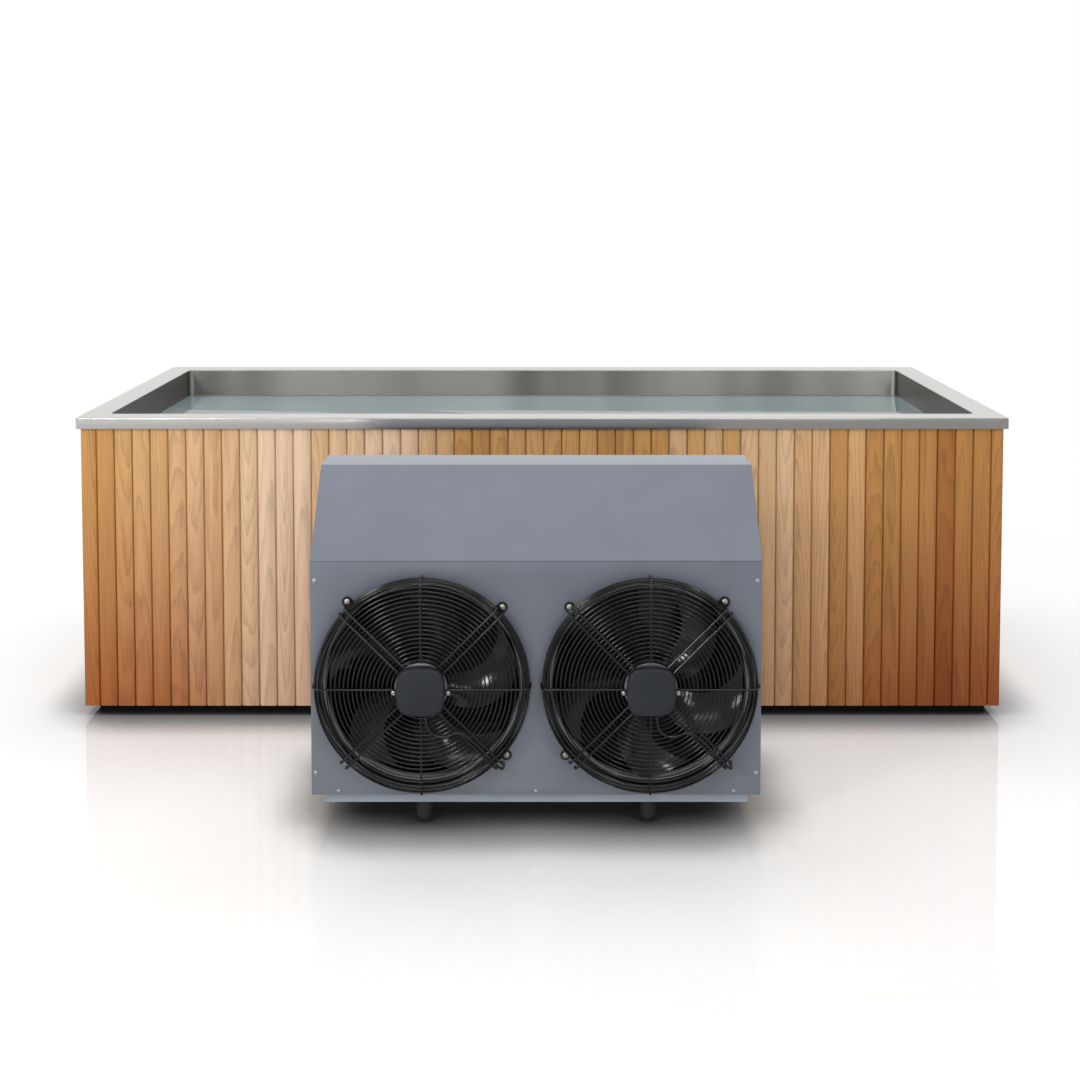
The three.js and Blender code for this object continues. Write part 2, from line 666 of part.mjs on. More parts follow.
function hood() {
  const section = outline([...roof(0), ...roof(CABINET_SHEET).reverse()]);
  return piece("chiller_hood", extrudeX(section, -cabinetHalf, cabinetHalf), powderCoat);
}

// A front or rear panel: a flat face with its two upright edges folded back, and openings cut out.
const panelTop = roof(CABINET_SHEET)[0][1] - SEAT;

function foldedPanel(tools) {
  const face = -halfDepth;
  const back = face + CABINET_SHEET;
  const end = face + PANEL_RETURN;
  const inside = cabinetHalf - CABINET_SHEET;
  const right = [[cabinetHalf, face], [cabinetHalf, end], [inside, end], [inside, back]];
  const left = right.map(([x, y]) => [-x, y]).reverse();
  return cut(extrudeZ(outline([...right, ...left]), PANEL_BOTTOM, panelTop), tools);
}

// A round hole through a panel, along Y.
const panelHole = (x, z, radius, sides) => {
  const tool = rodY(radius, -halfDepth - CABINET_SHEET, 2 * CABINET_SHEET - halfDepth, sides);
  return tool.translate(x, 0, z);
};

function frontPanel() {
  const tools = [];
  const [leadX, , leadZ] = LEAD_ROUTE.at(-1);
  for (const fan of FANS) {
    tools.push(panelHole(fan.x, fanZ, HOLE_RADIUS, FINE_SIDES));
    const bore = LEAD_RADIUS + 2 * SLIP;
    tools.push(panelHole(fan.x + leadX, fanZ + leadZ, bore, SMALL_SIDES));
  }
  return piece("front_panel", foldedPanel(tools), powderCoat);
}

const opening = {
  x0: -cabinetHalf + COIL_MARGIN,
  x1: cabinetHalf - SERVICE_BAY,
  z0: PANEL_BOTTOM + COIL_MARGIN,
  z1: eaveZ - COIL_MARGIN,
};
const exchangerX = cabinetHalf - EXCHANGER_X;
const PORTS = [
  { name: "water_outlet", x: exchangerX, z: OUTLET_Z },
  { name: "water_inlet", x: exchangerX - PUMP_SPACING, z: INLET_Z },
];
const glandX = cabinetHalf - GLAND_X;

// Drawn as a front panel and turned round, so X runs the other way on it.
function rearPanel() {
  const { x0, x1, z0, z1 } = opening;
  const tools = [block(-x1, -x0, -CABINET_DEPTH, 0, z0, z1)];
  for (const { x, z } of PORTS) tools.push(panelHole(-x, z, PORT_RADIUS + SLIP, PIPE_SIDES));
  tools.push(panelHole(-glandX, GLAND_Z, GLAND_STEM + SLIP, PIPE_SIDES));
  return piece("rear_panel", foldedPanel(tools).rotateZ(Math.PI), powderCoat);
}

function sidePanel(name, sign) {
  const [[, low], [ridge, top]] = roof(CABINET_SHEET + SEAT);
  const shoulder = low + ((CABINET_SHEET + SEAT) * SLOPE_RISE) / SLOPE_RUN;
  const rearHalf = [[panY, PANEL_BOTTOM], [panY, shoulder], [-ridge, top]];
  const frontHalf = rearHalf.map(([y, z]) => [-y, z]).reverse();
  const [x0, x1] = [sign * sideX, sign * (sideX - CABINET_SHEET)].sort((a, b) => a - b);
  const panel = extrudeX(outline([...rearHalf, ...frontHalf]), x0, x1);
  const slots = [];
  for (let row = 1; row <= SLOT_ROWS; row++) {
    const z = eaveZ - row * SLOT_PITCH;
    const half = SLOT_LENGTH / 2;
    slots.push(block(x0 - CUT_OVER, x1 + CUT_OVER, -half, half, z, z + SLOT_HEIGHT));
  }
  return piece(name, cut(panel, slots), powderCoat);
}

function floorPan() {
  const loop = (inset, z) => levelLoop(2 * (panX - inset), 2 * (panY - inset), z);
  const pan = skin([
    loop(0, PANEL_BOTTOM),
    loop(0, PANEL_BOTTOM + PAN_LIP),
    loop(CABINET_SHEET, PANEL_BOTTOM + PAN_LIP),
    loop(CABINET_SHEET, panFloor),
  ]);
  return piece("floor_pan", pan, galvanised);
}

// A channel across the cabinet with its web outwards; feet hang from the lower flange.
function skid(name, turn) {
  const web = SKID_SETBACK - halfDepth;
  const end = web + SKID_DEPTH;
  const top = PANEL_BOTTOM - SEAT;
  const section = outline([
    [web, FOOT_HEIGHT],
    [end, FOOT_HEIGHT],
    [end, FOOT_HEIGHT + SKID_SHEET],
    [web + SKID_SHEET, FOOT_HEIGHT + SKID_SHEET],
    [web + SKID_SHEET, top - SKID_SHEET],
    [end, top - SKID_SHEET],
    [end, top],
    [web, top],
  ]);
  const half = cabinetHalf - SKID_INSET;
  return piece(name, extrudeX(section, -half, half).rotateZ(turn), powderCoat);
}

function foot(name, x, y) {
  const profile = [
    [0, 0],
    [FOOT_TIP, 0],
    [FOOT_RADIUS, FOOT_TAPER],
    [FOOT_RADIUS, FOOT_HEIGHT - SEAT],
    [0, FOOT_HEIGHT - SEAT],
  ];
  const mesh = piece(name, turned(profile, PIPE_SIDES).rotateX(Math.PI / 2), rubber);
  mesh.position.set(x, y, 0);
  return mesh;
}

// Fan: drawn about its own axis along Y, with the front of the panel at y = 0
const ringPlane = -GUARD_STANDOFF;
const spokePlane = ringPlane - GUARD_WIRE / 2 - SEAT - SPOKE_WIRE / 2;
const armPlane = ringPlane - GUARD_WIRE / 2 - SEAT - ARM_WIRE / 2;
const firstRing = MOTOR_RADIUS + MOTOR_RING_GAP + GUARD_WIRE / 2;
const statorFront = armPlane + ARM_WIRE / 2 + SEAT;
const rotorFront = statorFront + MOTOR_THICKNESS + ROTOR_GAP;
const hubMiddle = rotorFront + ROTOR_LENGTH / 2;
const coverBack = armPlane - ARM_WIRE / 2 - SEAT;

// Motor lead: out of the cover, across to the lower right arm, along it and into the panel
const LEAD_ROUTE = [
  [12, -54, -COVER_SIZE / 2 - SEAT],
  [12, -54, -64],
  [19, -53, -82],
  [34, -51, -93],
  [52, -49, -94],
  [70, -48, -88],
  [86, -47, -90],
  [101, -44, -102],
  [118, -41.5, -118],
  [148, -42.5, -149],
  [160, -41.5, -161],
  [167, -31, -169],
  [169, -14, -171.5],
  [169, 9, -172],
];

// Bell mouth: a flange behind the panel that curves into the throat round the blades.
function shroud(fan) {
  const face = CABINET_SHEET + SEAT;
  const bell = (offset) =>
    [0, 0.5, 1].map((t) => {
      const a = (t * Math.PI) / 2;
      const radius = BELL_RADIUS - (BELL_RADIUS - THROAT_RADIUS) * Math.sin(a);
      const depth = face + BELL_DEPTH * (1 - Math.cos(a));
      return [radius + offset * Math.sin(a), depth + offset * Math.cos(a)];
    });
  const profile = [
    [HOLE_RADIUS + SHROUD_FLANGE, face],
    [HOLE_RADIUS + SHROUD_FLANGE, face + SHROUD_SHEET],
    ...bell(SHROUD_SHEET),
    [THROAT_RADIUS + SHROUD_SHEET, SHROUD_DEPTH],
    [THROAT_RADIUS, SHROUD_DEPTH],
    ...bell(0).reverse(),
  ];
  return piece(`${fan.name}_fan_shroud`, turned(profile, FINE_SIDES), fanBlack);
}

// Concentric rings on four spokes that bend back to the panel, with three lugs for its screws. The
// upper spoke runs through every ring; the others lie in front and run through only the first and
// last.
function guard(fan) {
  const parts = [];
  const ring = (radius, y) => {
    const segments = radius > WIDE_RING ? SIDES : PIPE_SIDES;
    const wire = new THREE.TorusGeometry(radius, GUARD_WIRE / 2, 3, segments);
    parts.push(wire.rotateX(Math.PI / 2).translate(0, y, 0));
  };
  const pitch = (GUARD_RADIUS - firstRing) / (GUARD_RINGS - 1);
  for (let i = 0; i < GUARD_RINGS; i++) ring(firstRing + i * pitch, ringPlane);
  const sidePitch = GUARD_STANDOFF / (GUARD_SIDE_RINGS + 1);
  for (let i = 1; i <= GUARD_SIDE_RINGS; i++) ring(GUARD_RADIUS, ringPlane + i * sidePitch);
  const half = SPOKE_WIRE / 2;
  const [start, end] = [firstRing - half, GUARD_RADIUS + half];
  for (let quarter = 0; quarter < 4; quarter++) {
    const upper = quarter === 3;
    const plane = upper ? ringPlane : spokePlane;
    const bent = [[start, plane - half], [end, plane - half], [end, -SEAT]];
    bent.push([end - SPOKE_WIRE, -SEAT], [end - SPOKE_WIRE, plane + half]);
    if (!upper) {
      const foot = ringPlane + half;
      bent.push([start + SPOKE_WIRE, plane + half], [start + SPOKE_WIRE, foot], [start, foot]);
    } else {
      bent.push([start, plane + half]);
    }
    parts.push(extrudeZ(outline(bent), -half, half).rotateY((quarter * Math.PI) / 2));
  }
  const lug = outline([
    [GUARD_RADIUS - GUARD_WIRE, ringPlane / 2],
    [GUARD_RADIUS + GUARD_WIRE, ringPlane / 2],
    [GUARD_RADIUS + GUARD_WIRE, -SEAT - LUG_THICKNESS],
    [LUG_REACH, -SEAT - LUG_THICKNESS],
    [LUG_REACH, -SEAT],
    [GUARD_RADIUS - GUARD_WIRE, -SEAT],
  ]);
  for (const degrees of fan.lugs) {
    const bracket = extrudeZ(lug, -LUG_WIDTH / 2, LUG_WIDTH / 2);
    parts.push(bracket.rotateY(THREE.MathUtils.degToRad(-degrees)));
  }
  return piece(`${fan.name}_fan_guard`, join(parts), wireBlack);
}

// Four pairs of heavier wires lie across the guard and meet in the plate that holds the motor.
function arms(fan) {
  const half = ARM_WIRE / 2;
  const start = PLATE_RADIUS - ARM_SPREAD / 2;
  const end = guardOuter + ARM_WIRE;
  const [front, back] = [armPlane - half, armPlane + half];
  const parts = [rodY(PLATE_RADIUS, front, back, PIPE_SIDES)];
  for (let quarter = 0; quarter < 4; quarter++) {
    const angle = ((quarter + 0.5) * Math.PI) / 2;
    for (const z of [-ARM_SPREAD / 2, ARM_SPREAD / 2]) {
      parts.push(block(start, end, front, back, z - half, z + half).rotateY(angle));
    }
  }
  return piece(`${fan.name}_motor_arms`, join(parts), wireBlack);
}

function motor(fan) {
  const back = statorFront + MOTOR_THICKNESS;
  const end = rotorFront + ROTOR_LENGTH - ROTOR_GAP;
  const profile = [
    [0, statorFront],
    [MOTOR_RADIUS, statorFront],
    [MOTOR_RADIUS, back - MOTOR_CHAMFER],
    [MOTOR_RADIUS - MOTOR_CHAMFER, back],
    [SPINDLE_RADIUS, back],
    [SPINDLE_RADIUS, end],
    [0, end],
  ];
  return piece(`${fan.name}_fan_motor`, turned(profile), castAluminium);
}

// What spins, turned to the angle at which it rests.
const atRest = (fan, geometry) => geometry.rotateY(THREE.MathUtils.degToRad(-fan.rest));

// A cambered blade lofted from root to tip, its pitch falling and its tip swept forwards.
// Both faces are split along the same diagonals, so the blade keeps its thickness where it twists.
function blade() {
  const root = ROTOR_RADIUS - BLADE_SINK;
  const tip = THROAT_RADIUS - TIP_CLEARANCE;
  const radians = Math.PI / 180;
  const position = [];
  for (let i = 0; i <= BLADE_STATIONS; i++) {
    const t = i / BLADE_STATIONS;
    const radius = THREE.MathUtils.lerp(root, tip, t);
    const chord = THREE.MathUtils.lerp(BLADE_ROOT_CHORD, BLADE_TIP_CHORD, t);
    const pitch = THREE.MathUtils.lerp(BLADE_ROOT_PITCH, BLADE_TIP_PITCH, t) * radians;
    const sweep = BLADE_SWEEP * radians * t * t;
    for (let j = 0; j <= BLADE_COLUMNS; j++) {
      const s = j / BLADE_COLUMNS - 0.5;
      for (const face of [1, -1]) {
        const lift = BLADE_CAMBER * (1 - 4 * s * s) + (face * BLADE_THICKNESS) / 2;
        const round = chord * s * Math.cos(pitch) - lift * Math.sin(pitch);
        const axial = chord * s * Math.sin(pitch) + lift * Math.cos(pitch);
        const angle = sweep + round / radius;
        position.push(radius * Math.cos(angle), hubMiddle + axial, radius * Math.sin(angle));
      }
    }
  }
  const index = [];
  const quad = (a, b, c, d) => index.push(a, b, c, a, c, d);
  const at = (i, j, face) => 2 * (i * (BLADE_COLUMNS + 1) + j) + face;
  for (let i = 0; i < BLADE_STATIONS; i++) {
    for (let j = 0; j < BLADE_COLUMNS; j++) {
      quad(at(i, j, 0), at(i, j + 1, 0), at(i + 1, j + 1, 0), at(i + 1, j, 0));
      quad(at(i + 1, j + 1, 1), at(i, j + 1, 1), at(i, j, 1), at(i + 1, j, 1));
    }
    quad(at(i, 0, 1), at(i, 0, 0), at(i + 1, 0, 0), at(i + 1, 0, 1));
    const j = BLADE_COLUMNS;
    quad(at(i, j, 0), at(i, j, 1), at(i + 1, j, 1), at(i + 1, j, 0));
  }
  for (let j = 0; j < BLADE_COLUMNS; j++) {
    const i = BLADE_STATIONS;
    quad(at(0, j, 1), at(0, j + 1, 1), at(0, j + 1, 0), at(0, j, 0));
    quad(at(i, j, 0), at(i, j + 1, 0), at(i, j + 1, 1), at(i, j, 1));
  }
  const geometry = new THREE.BufferGeometry();
  geometry.setAttribute("position", new THREE.Float32BufferAttribute(position, 3));
  geometry.setIndex(index);
  geometry.computeVertexNormals();
  return geometry;
}

// The can of the motor's rotor with the blades on it.
function impeller(fan) {
  const bore = SPINDLE_RADIUS + SLIP;
  const end = rotorFront + ROTOR_LENGTH;
  const profile = [
    [bore, rotorFront],
    [ROTOR_RADIUS, rotorFront],
    [ROTOR_RADIUS, end - ROTOR_EDGE],
    [ROTOR_RADIUS - ROTOR_EDGE, end],
    [bore, end],
  ];
  const parts = [turned(profile, ROTOR_SIDES)];
  for (let i = 0; i < BLADES; i++) parts.push(blade().rotateY((i * 2 * Math.PI) / BLADES));
  return piece(`${fan.name}_fan_impeller`, atRest(fan, join(parts)), fanBlack);
}

// Rounded square cover over the motor's terminals, in front of the arms.
function terminalCover(fan) {
  const face = roundedSquare(COVER_SIZE - 2 * COVER_EDGE, COVER_CORNER - COVER_EDGE);
  const cover = new THREE.ExtrudeGeometry(face, {
    depth: COVER_DEPTH - 2 * COVER_EDGE,
    bevelThickness: COVER_EDGE,
    bevelSize: COVER_EDGE,
    bevelSegments: 1,
    curveSegments: ARC_STEPS,
  });
  cover.rotateX(Math.PI / 2).translate(0, coverBack - COVER_EDGE, 0);
  return piece(`${fan.name}_terminal_cover`, cover, capGrey);
}

function motorLead(fan) {
  const lead = tube(LEAD_ROUTE, LEAD_RADIUS, LEAD_STEPS, LEAD_SIDES);
  return piece(`${fan.name}_motor_lead`, lead, rubber);
}

function fanSet(fan) {
  const group = new THREE.Group();
  group.position.set(fan.x, -halfDepth, fanZ);
  group.add(shroud(fan), guard(fan), arms(fan), motor(fan), impeller(fan));
  group.add(terminalCover(fan), motorLead(fan));
  return group;
}

// Finned block behind the rear opening, standing in the floor pan.
const coilTop = opening.z1 + COIL_LAP;
const coilBack = panY - CABINET_SHEET - SEAT;

function condenserCoil() {
  const x0 = opening.x0 - COIL_LAP;
  const x1 = opening.x1 + COIL_LAP;
  const front = coilBack - COIL_DEPTH;
  const points = [[x0, front], [x1, front], [x1, coilBack]];
  for (let x = x1 - FIN_PITCH; x > x0 + FIN_SLOT; x -= FIN_PITCH) {
    const floor = coilBack - FIN_SLOT_DEPTH;
    points.push([x, coilBack], [x, floor], [x - FIN_SLOT, floor], [x - FIN_SLOT, coilBack]);
  }
  points.push([x0, coilBack]);
  return piece("condenser_coil", extrudeZ(outline(points), panFloor + SEAT, coilTop), finStock);
}

function coilGuard() {
  const [x0, x1] = [opening.x0 - GRID_LAP, opening.x1 + GRID_LAP];
  const [z0, z1] = [opening.z0 - GRID_LAP, opening.z1 + GRID_LAP];
  const y = halfDepth + SEAT;
  const wire = GRID_WIRE;
  const bars = lattice(x0, x1, y, y + wire, z0, z1, GRID_COLUMNS, GRID_ROWS, wire, wire);
  return piece("coil_guard", bars, wireBlack);
}

// Welded can on three feet, with its discharge stub.
function compressor() {
  const base = panFloor + SEAT;
  const low = base + COMPRESSOR_FOOT;
  const round = COMPRESSOR_RADIUS / 3;
  const can = turned([
    [0, low],
    [COMPRESSOR_RADIUS - round, low],
    [COMPRESSOR_RADIUS, low + round],
    [COMPRESSOR_RADIUS, low + COMPRESSOR_HEIGHT - round],
    [COMPRESSOR_RADIUS - round, low + COMPRESSOR_HEIGHT],
    [0, low + COMPRESSOR_HEIGHT],
  ]);
  const parts = [can.rotateX(Math.PI / 2)];
  for (let i = 0; i < 3; i++) {
    const angle = (i * 2 * Math.PI) / 3 + Math.PI / 2;
    const half = COMPRESSOR_LUG_WIDTH / 2;
    const lugTop = low + COMPRESSOR_LUG_THICKNESS;
    const lug = block(0, COMPRESSOR_RADIUS + COMPRESSOR_LUG, -half, half, low, lugTop);
    const grommet = rodZ(GROMMET_RADIUS, base, (low + lugTop) / 2, SMALL_SIDES);
    grommet.translate(COMPRESSOR_RADIUS, 0, 0);
    parts.push(lug.rotateZ(angle), grommet.rotateZ(angle));
  }
  const top = low + COMPRESSOR_HEIGHT;
  parts.push(rodZ(DISCHARGE_RADIUS, top - DISCHARGE_RADIUS, top + DISCHARGE_LENGTH, SMALL_SIDES));
  return piece("compressor", join(parts), blackPaint);
}

// Upright shell with its outlet stub towards the rear panel, level with the outlet port.
const exchangerY = rearInside - PUMP_SETBACK - PUMP_VOLUTE / 2;

function heatExchanger() {
  const base = panFloor + SEAT;
  const round = EXCHANGER_RADIUS / 4;
  const top = base + EXCHANGER_HEIGHT;
  const shell = turned([
    [0, base],
    [EXCHANGER_RADIUS, base],
    [EXCHANGER_RADIUS, top - round],
    [EXCHANGER_RADIUS - round, top],
    [0, top],
  ]);
  const stub = rodY(PORT_BORE, 0, rearInside - PORT_INSIDE - SEAT - exchangerY, PIPE_SIDES);
  const parts = [shell.rotateX(Math.PI / 2), stub.translate(0, 0, OUTLET_Z)];
  const mesh = piece("heat_exchanger", join(parts), darkPlastic);
  mesh.position.set(exchangerX, exchangerY, 0);
  return mesh;
}

// In line with the inlet port; its outlet meets the side of the exchanger.
function circulationPump() {
  const back = rearInside - PUMP_SETBACK;
  const profile = [
    [0, back - PUMP_LENGTH],
    [PUMP_MOTOR_RADIUS, back - PUMP_LENGTH],
    [PUMP_MOTOR_RADIUS, back - PUMP_VOLUTE],
    [PUMP_RADIUS, back - PUMP_VOLUTE],
    [PUMP_RADIUS, back],
    [PORT_BORE, back],
    [PORT_BORE, rearInside - PORT_INSIDE - SEAT],
    [0, rearInside - PORT_INSIDE - SEAT],
  ];
  const outletEnd = PUMP_SPACING - EXCHANGER_RADIUS - SEAT;
  const outlet = rodX(PORT_BORE, 0, outletEnd, PIPE_SIDES).translate(0, exchangerY, 0);
  const [y0, y1] = [back - PUMP_LENGTH + STAND_MARGIN, back - PUMP_VOLUTE - STAND_MARGIN];
  const half = STAND_WIDTH / 2;
  const stand = block(-half, half, y0, y1, panFloor + SEAT - INLET_Z, 0);
  const body = join([turned(profile, PIPE_SIDES), outlet, stand]);
  const mesh = piece("circulation_pump", body, darkPlastic);
  mesh.position.set(exchangerX - PUMP_SPACING, 0, INLET_Z);
  return mesh;
}

// Flanged port through the rear panel, bored for the hose that a fitter adds.
function port({ name, x, z }) {
  const face = halfDepth + SEAT;
  const profile = [
    [PORT_BORE, rearInside - PORT_INSIDE],
    [PORT_RADIUS, rearInside - PORT_INSIDE],
    [PORT_RADIUS, face],
    [PORT_FLANGE, face],
    [PORT_FLANGE, face + PORT_FLANGE_THICKNESS],
    [PORT_SPIGOT, face + PORT_FLANGE_THICKNESS],
    [PORT_SPIGOT, face + PORT_STANDOUT],
    [PORT_BORE, face + PORT_STANDOUT],
  ];
  const mesh = piece(name, turned(profile, PIPE_SIDES), darkPlastic);
  mesh.position.set(x, 0, z);
  return mesh;
}

function controlBox() {
  const x = -panX;
  const box = block(x, x + BOX_DEPTH, -BOX_WIDTH / 2, BOX_WIDTH / 2, BOX_Z, BOX_Z + BOX_HEIGHT);
  return piece("control_box", box, darkPlastic);
}

function cableGland() {
  const face = halfDepth + SEAT;
  const profile = [
    [GLAND_BORE, rearInside - GLAND_INSIDE],
    [GLAND_STEM, rearInside - GLAND_INSIDE],
    [GLAND_STEM, face],
    [GLAND_RADIUS, face],
    [GLAND_RADIUS, face + GLAND_NUT],
    [GLAND_TIP, face + GLAND_LENGTH],
    [GLAND_BORE, face + GLAND_LENGTH],
  ];
  const mesh = piece("cable_gland", turned(profile, PIPE_SIDES), darkPlastic);
  mesh.position.set(glandX, 0, GLAND_Z);
  return mesh;
}

function chiller() {
  const group = new THREE.Group();
  group.add(hood(), frontPanel(), rearPanel(), floorPan());
  group.add(sidePanel("left_side_panel", -1), sidePanel("right_side_panel", 1));
  group.add(skid("front_skid", 0), skid("rear_skid", Math.PI));
  const footY = halfDepth - SKID_SETBACK - SKID_DEPTH / 2;
  for (const [depthName, y] of [["front", -footY], ["rear", footY]]) {
    for (const [sideName, sign] of [["left", -1], ["right", 1]]) {
      group.add(foot(`${depthName}_${sideName}_foot`, (sign * FOOT_SPACING) / 2, y));
    }
  }
  group.add(...FANS.map(fanSet));
  group.add(condenserCoil(), coilGuard(), compressor(), heatExchanger(), circulationPump());
  group.add(...PORTS.map(port), controlBox(), cableGland());
  return group;
}

// The set, with the middle of its footprint on the ground as the origin.
const set = new THREE.Group();
const tubGroup = tub();
const chillerGroup = chiller();
chillerGroup.position.set(CHILLER_OFFSET, -TUB_WIDTH / 2 - CHILLER_GAP - halfDepth, 0);
set.add(tubGroup, chillerGroup);
set.updateMatrixWorld(true);
const middle = new THREE.Box3().setFromObject(set, true).getCenter(new THREE.Vector3());
tubGroup.position.y -= middle.y;
chillerGroup.position.y -= middle.y;

export default set;
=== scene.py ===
"""Looks of the cold plunge tub and its chiller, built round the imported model. Metres, +Z up."""
import math
import random

import bmesh
import bpy
import numpy as np
from mathutils import Matrix, Vector

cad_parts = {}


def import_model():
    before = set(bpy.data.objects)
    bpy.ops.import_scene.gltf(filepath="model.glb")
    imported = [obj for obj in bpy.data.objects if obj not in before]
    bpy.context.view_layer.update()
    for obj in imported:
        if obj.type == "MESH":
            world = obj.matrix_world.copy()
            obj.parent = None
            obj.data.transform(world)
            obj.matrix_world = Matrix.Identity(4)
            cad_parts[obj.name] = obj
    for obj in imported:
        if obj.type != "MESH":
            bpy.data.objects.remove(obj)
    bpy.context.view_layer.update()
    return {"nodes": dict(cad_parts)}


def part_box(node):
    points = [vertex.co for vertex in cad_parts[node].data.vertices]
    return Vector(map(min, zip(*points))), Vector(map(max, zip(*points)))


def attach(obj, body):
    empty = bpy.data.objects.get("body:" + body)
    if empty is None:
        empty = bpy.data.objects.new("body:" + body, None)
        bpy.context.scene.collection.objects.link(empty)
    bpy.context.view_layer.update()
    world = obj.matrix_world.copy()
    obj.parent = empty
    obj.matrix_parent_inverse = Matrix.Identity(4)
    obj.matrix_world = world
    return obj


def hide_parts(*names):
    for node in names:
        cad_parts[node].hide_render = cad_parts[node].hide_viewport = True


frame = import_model()

MM = 0.001
ROOT = "set"
draw = random.Random(7)


# Forms: vertices and faces gathered before they become one object

class Form:
    def __init__(self):
        self.verts = []
        self.faces = []

    def add(self, shape, matrix=None):
        verts, faces = shape
        base = len(self.verts)
        for v in verts:
            v = Vector(v)
            self.verts.append(matrix @ v if matrix else v)
        self.faces += [[base + i for i in face] for face in faces]
        return self


def skin(loops, ends=True, closed=False):
    """Quads between loops of equal length; the first and last are capped, or joined if closed."""
    count = len(loops[0])
    verts = [p for loop in loops for p in loop]
    faces = []
    last = len(loops) if closed else len(loops) - 1
    for k in range(last):
        a, b = k * count, ((k + 1) % len(loops)) * count
        for i in range(count):
            j = (i + 1) % count
            faces.append((a + i, a + j, b + j, b + i))
    if ends and not closed:
        faces.append(tuple(reversed(range(count))))
        faces.append(tuple(range((len(loops) - 1) * count, len(loops) * count)))
    return verts, faces


def turned(profile, segments=48, closed=False):
    """Revolves [radius, y] points about the Y axis."""
    loops = []
    for radius, y in profile:
        loop = []
        for i in range(segments):
            a = 2 * math.pi * i / segments
            loop.append((radius * math.cos(a), y, radius * math.sin(a)))
        loops.append(loop)
    return skin(loops, closed=closed)


def ring(radius, y, wire, segments=96, sides=8):
    section = []
    for i in range(sides):
        a = 2 * math.pi * i / sides
        section.append((radius + wire * math.cos(a), y + wire * math.sin(a)))
    return turned(section, segments, closed=True)


def tube(path, radius, sides=8):
    points = [Vector(p) for p in path]
    loops = []
    normal = None
    for i, point in enumerate(points):
        before = points[max(i - 1, 0)]
        after = points[min(i + 1, len(points) - 1)]
        tangent = (after - before).normalized()
        if normal is None:
            normal = tangent.orthogonal().normalized()
        else:
            normal = (normal - tangent * normal.dot(tangent)).normalized()
        side = tangent.cross(normal)
        loop = []
        for k in range(sides):
            a = 2 * math.pi * k / sides
            loop.append(point + radius * (math.cos(a) * normal + math.sin(a) * side))
        loops.append(loop)
    return skin(loops)


def block(low, high):
    loops = [[(x, y, z) for x, y in (
        (low[0], low[1]), (high[0], low[1]), (high[0], high[1]), (low[0], high[1]))]
        for z in (low[2], high[2])]
    return skin(loops)


def prism(outline, low, high, axes="XYZ"):
    """An outline in the first two axes named, drawn out along the third."""
    order = ["XYZ".index(a) for a in axes]
    loops = []
    for level in (low, high):
        loop = []
        for u, v in outline:
            p = [0.0, 0.0, 0.0]
            p[order[0]], p[order[1]], p[order[2]] = u, v, level
            loop.append(tuple(p))
        loops.append(loop)
    return skin(loops)


def fillet(points, radius, steps=4, closed=True):
    """Rounds the corners of a polyline in a plane."""
    made = []
    count = len(points)
    for i, point in enumerate(points):
        if not closed and i in (0, count - 1):
            made.append(tuple(point))
            continue
        p = Vector(point).to_2d()
        a = Vector(points[i - 1]).to_2d() - p
        b = Vector(points[(i + 1) % count]).to_2d() - p
        bend = a.angle(b, math.pi)
        reach = min(radius / math.tan(bend / 2), 0.49 * a.length, 0.49 * b.length)
        if bend > math.radians(176) or reach < 1e-7:
            made.append(tuple(p))
            continue
        arc = reach * math.tan(bend / 2)
        middle = p + (a.normalized() + b.normalized()).normalized() * math.hypot(reach, arc)
        start = p + a.normalized() * reach - middle
        end = p + b.normalized() * reach - middle
        turn = start.angle_signed(end)
        for k in range(steps + 1):
            made.append(tuple(middle + Matrix.Rotation(-turn * k / steps, 2) @ start))
    return made


def rounded_loop(half_x, half_y, z, radius, centre, steps=6):
    loop = []
    for quarter, (sx, sy) in enumerate(((1, 1), (-1, 1), (-1, -1), (1, -1))):
        for k in range(steps + 1):
            a = math.pi / 2 * (quarter + k / steps)
            x = sx * (half_x - radius) + radius * math.cos(a)
            y = sy * (half_y - radius) + radius * math.sin(a)
            loop.append((centre[0] + x, centre[1] + y, z))
    return loop


def spread(path, count):
    """Evenly spaced points along a polyline in a plane."""
    points = np.array(path)
    steps = np.hypot(*np.diff(points, axis=0).T)
    length = np.concatenate([[0], np.cumsum(steps)])
    at = np.linspace(0, length[-1], count)
    return [(np.interp(s, length, points[:, 0]), np.interp(s, length, points[:, 1])) for s in at]


def smooth_route(points, per_span=6):
    """A Catmull-Rom curve through the points of a route."""
    p = [Vector(points[0])] + [Vector(q) for q in points] + [Vector(points[-1])]
    made = []
    for i in range(1, len(p) - 2):
        for k in range(per_span):
            t = k / per_span
            a = 2 * p[i]
            b = (p[i + 1] - p[i - 1]) * t
            c = (2 * p[i - 1] - 5 * p[i] + 4 * p[i + 1] - p[i + 2]) * t * t
            d = (3 * p[i] - p[i - 1] - 3 * p[i + 1] + p[i + 2]) * t ** 3
            made.append((a + b + c + d) / 2)
    made.append(p[-2])
    return made


def mixed(a, b, t):
    return a + (b - a) * t


def place(x=0.0, y=0.0, z=0.0):
    return Matrix.Translation((x, y, z))


# Pieces: one object each, riding on a body and standing for its nodes

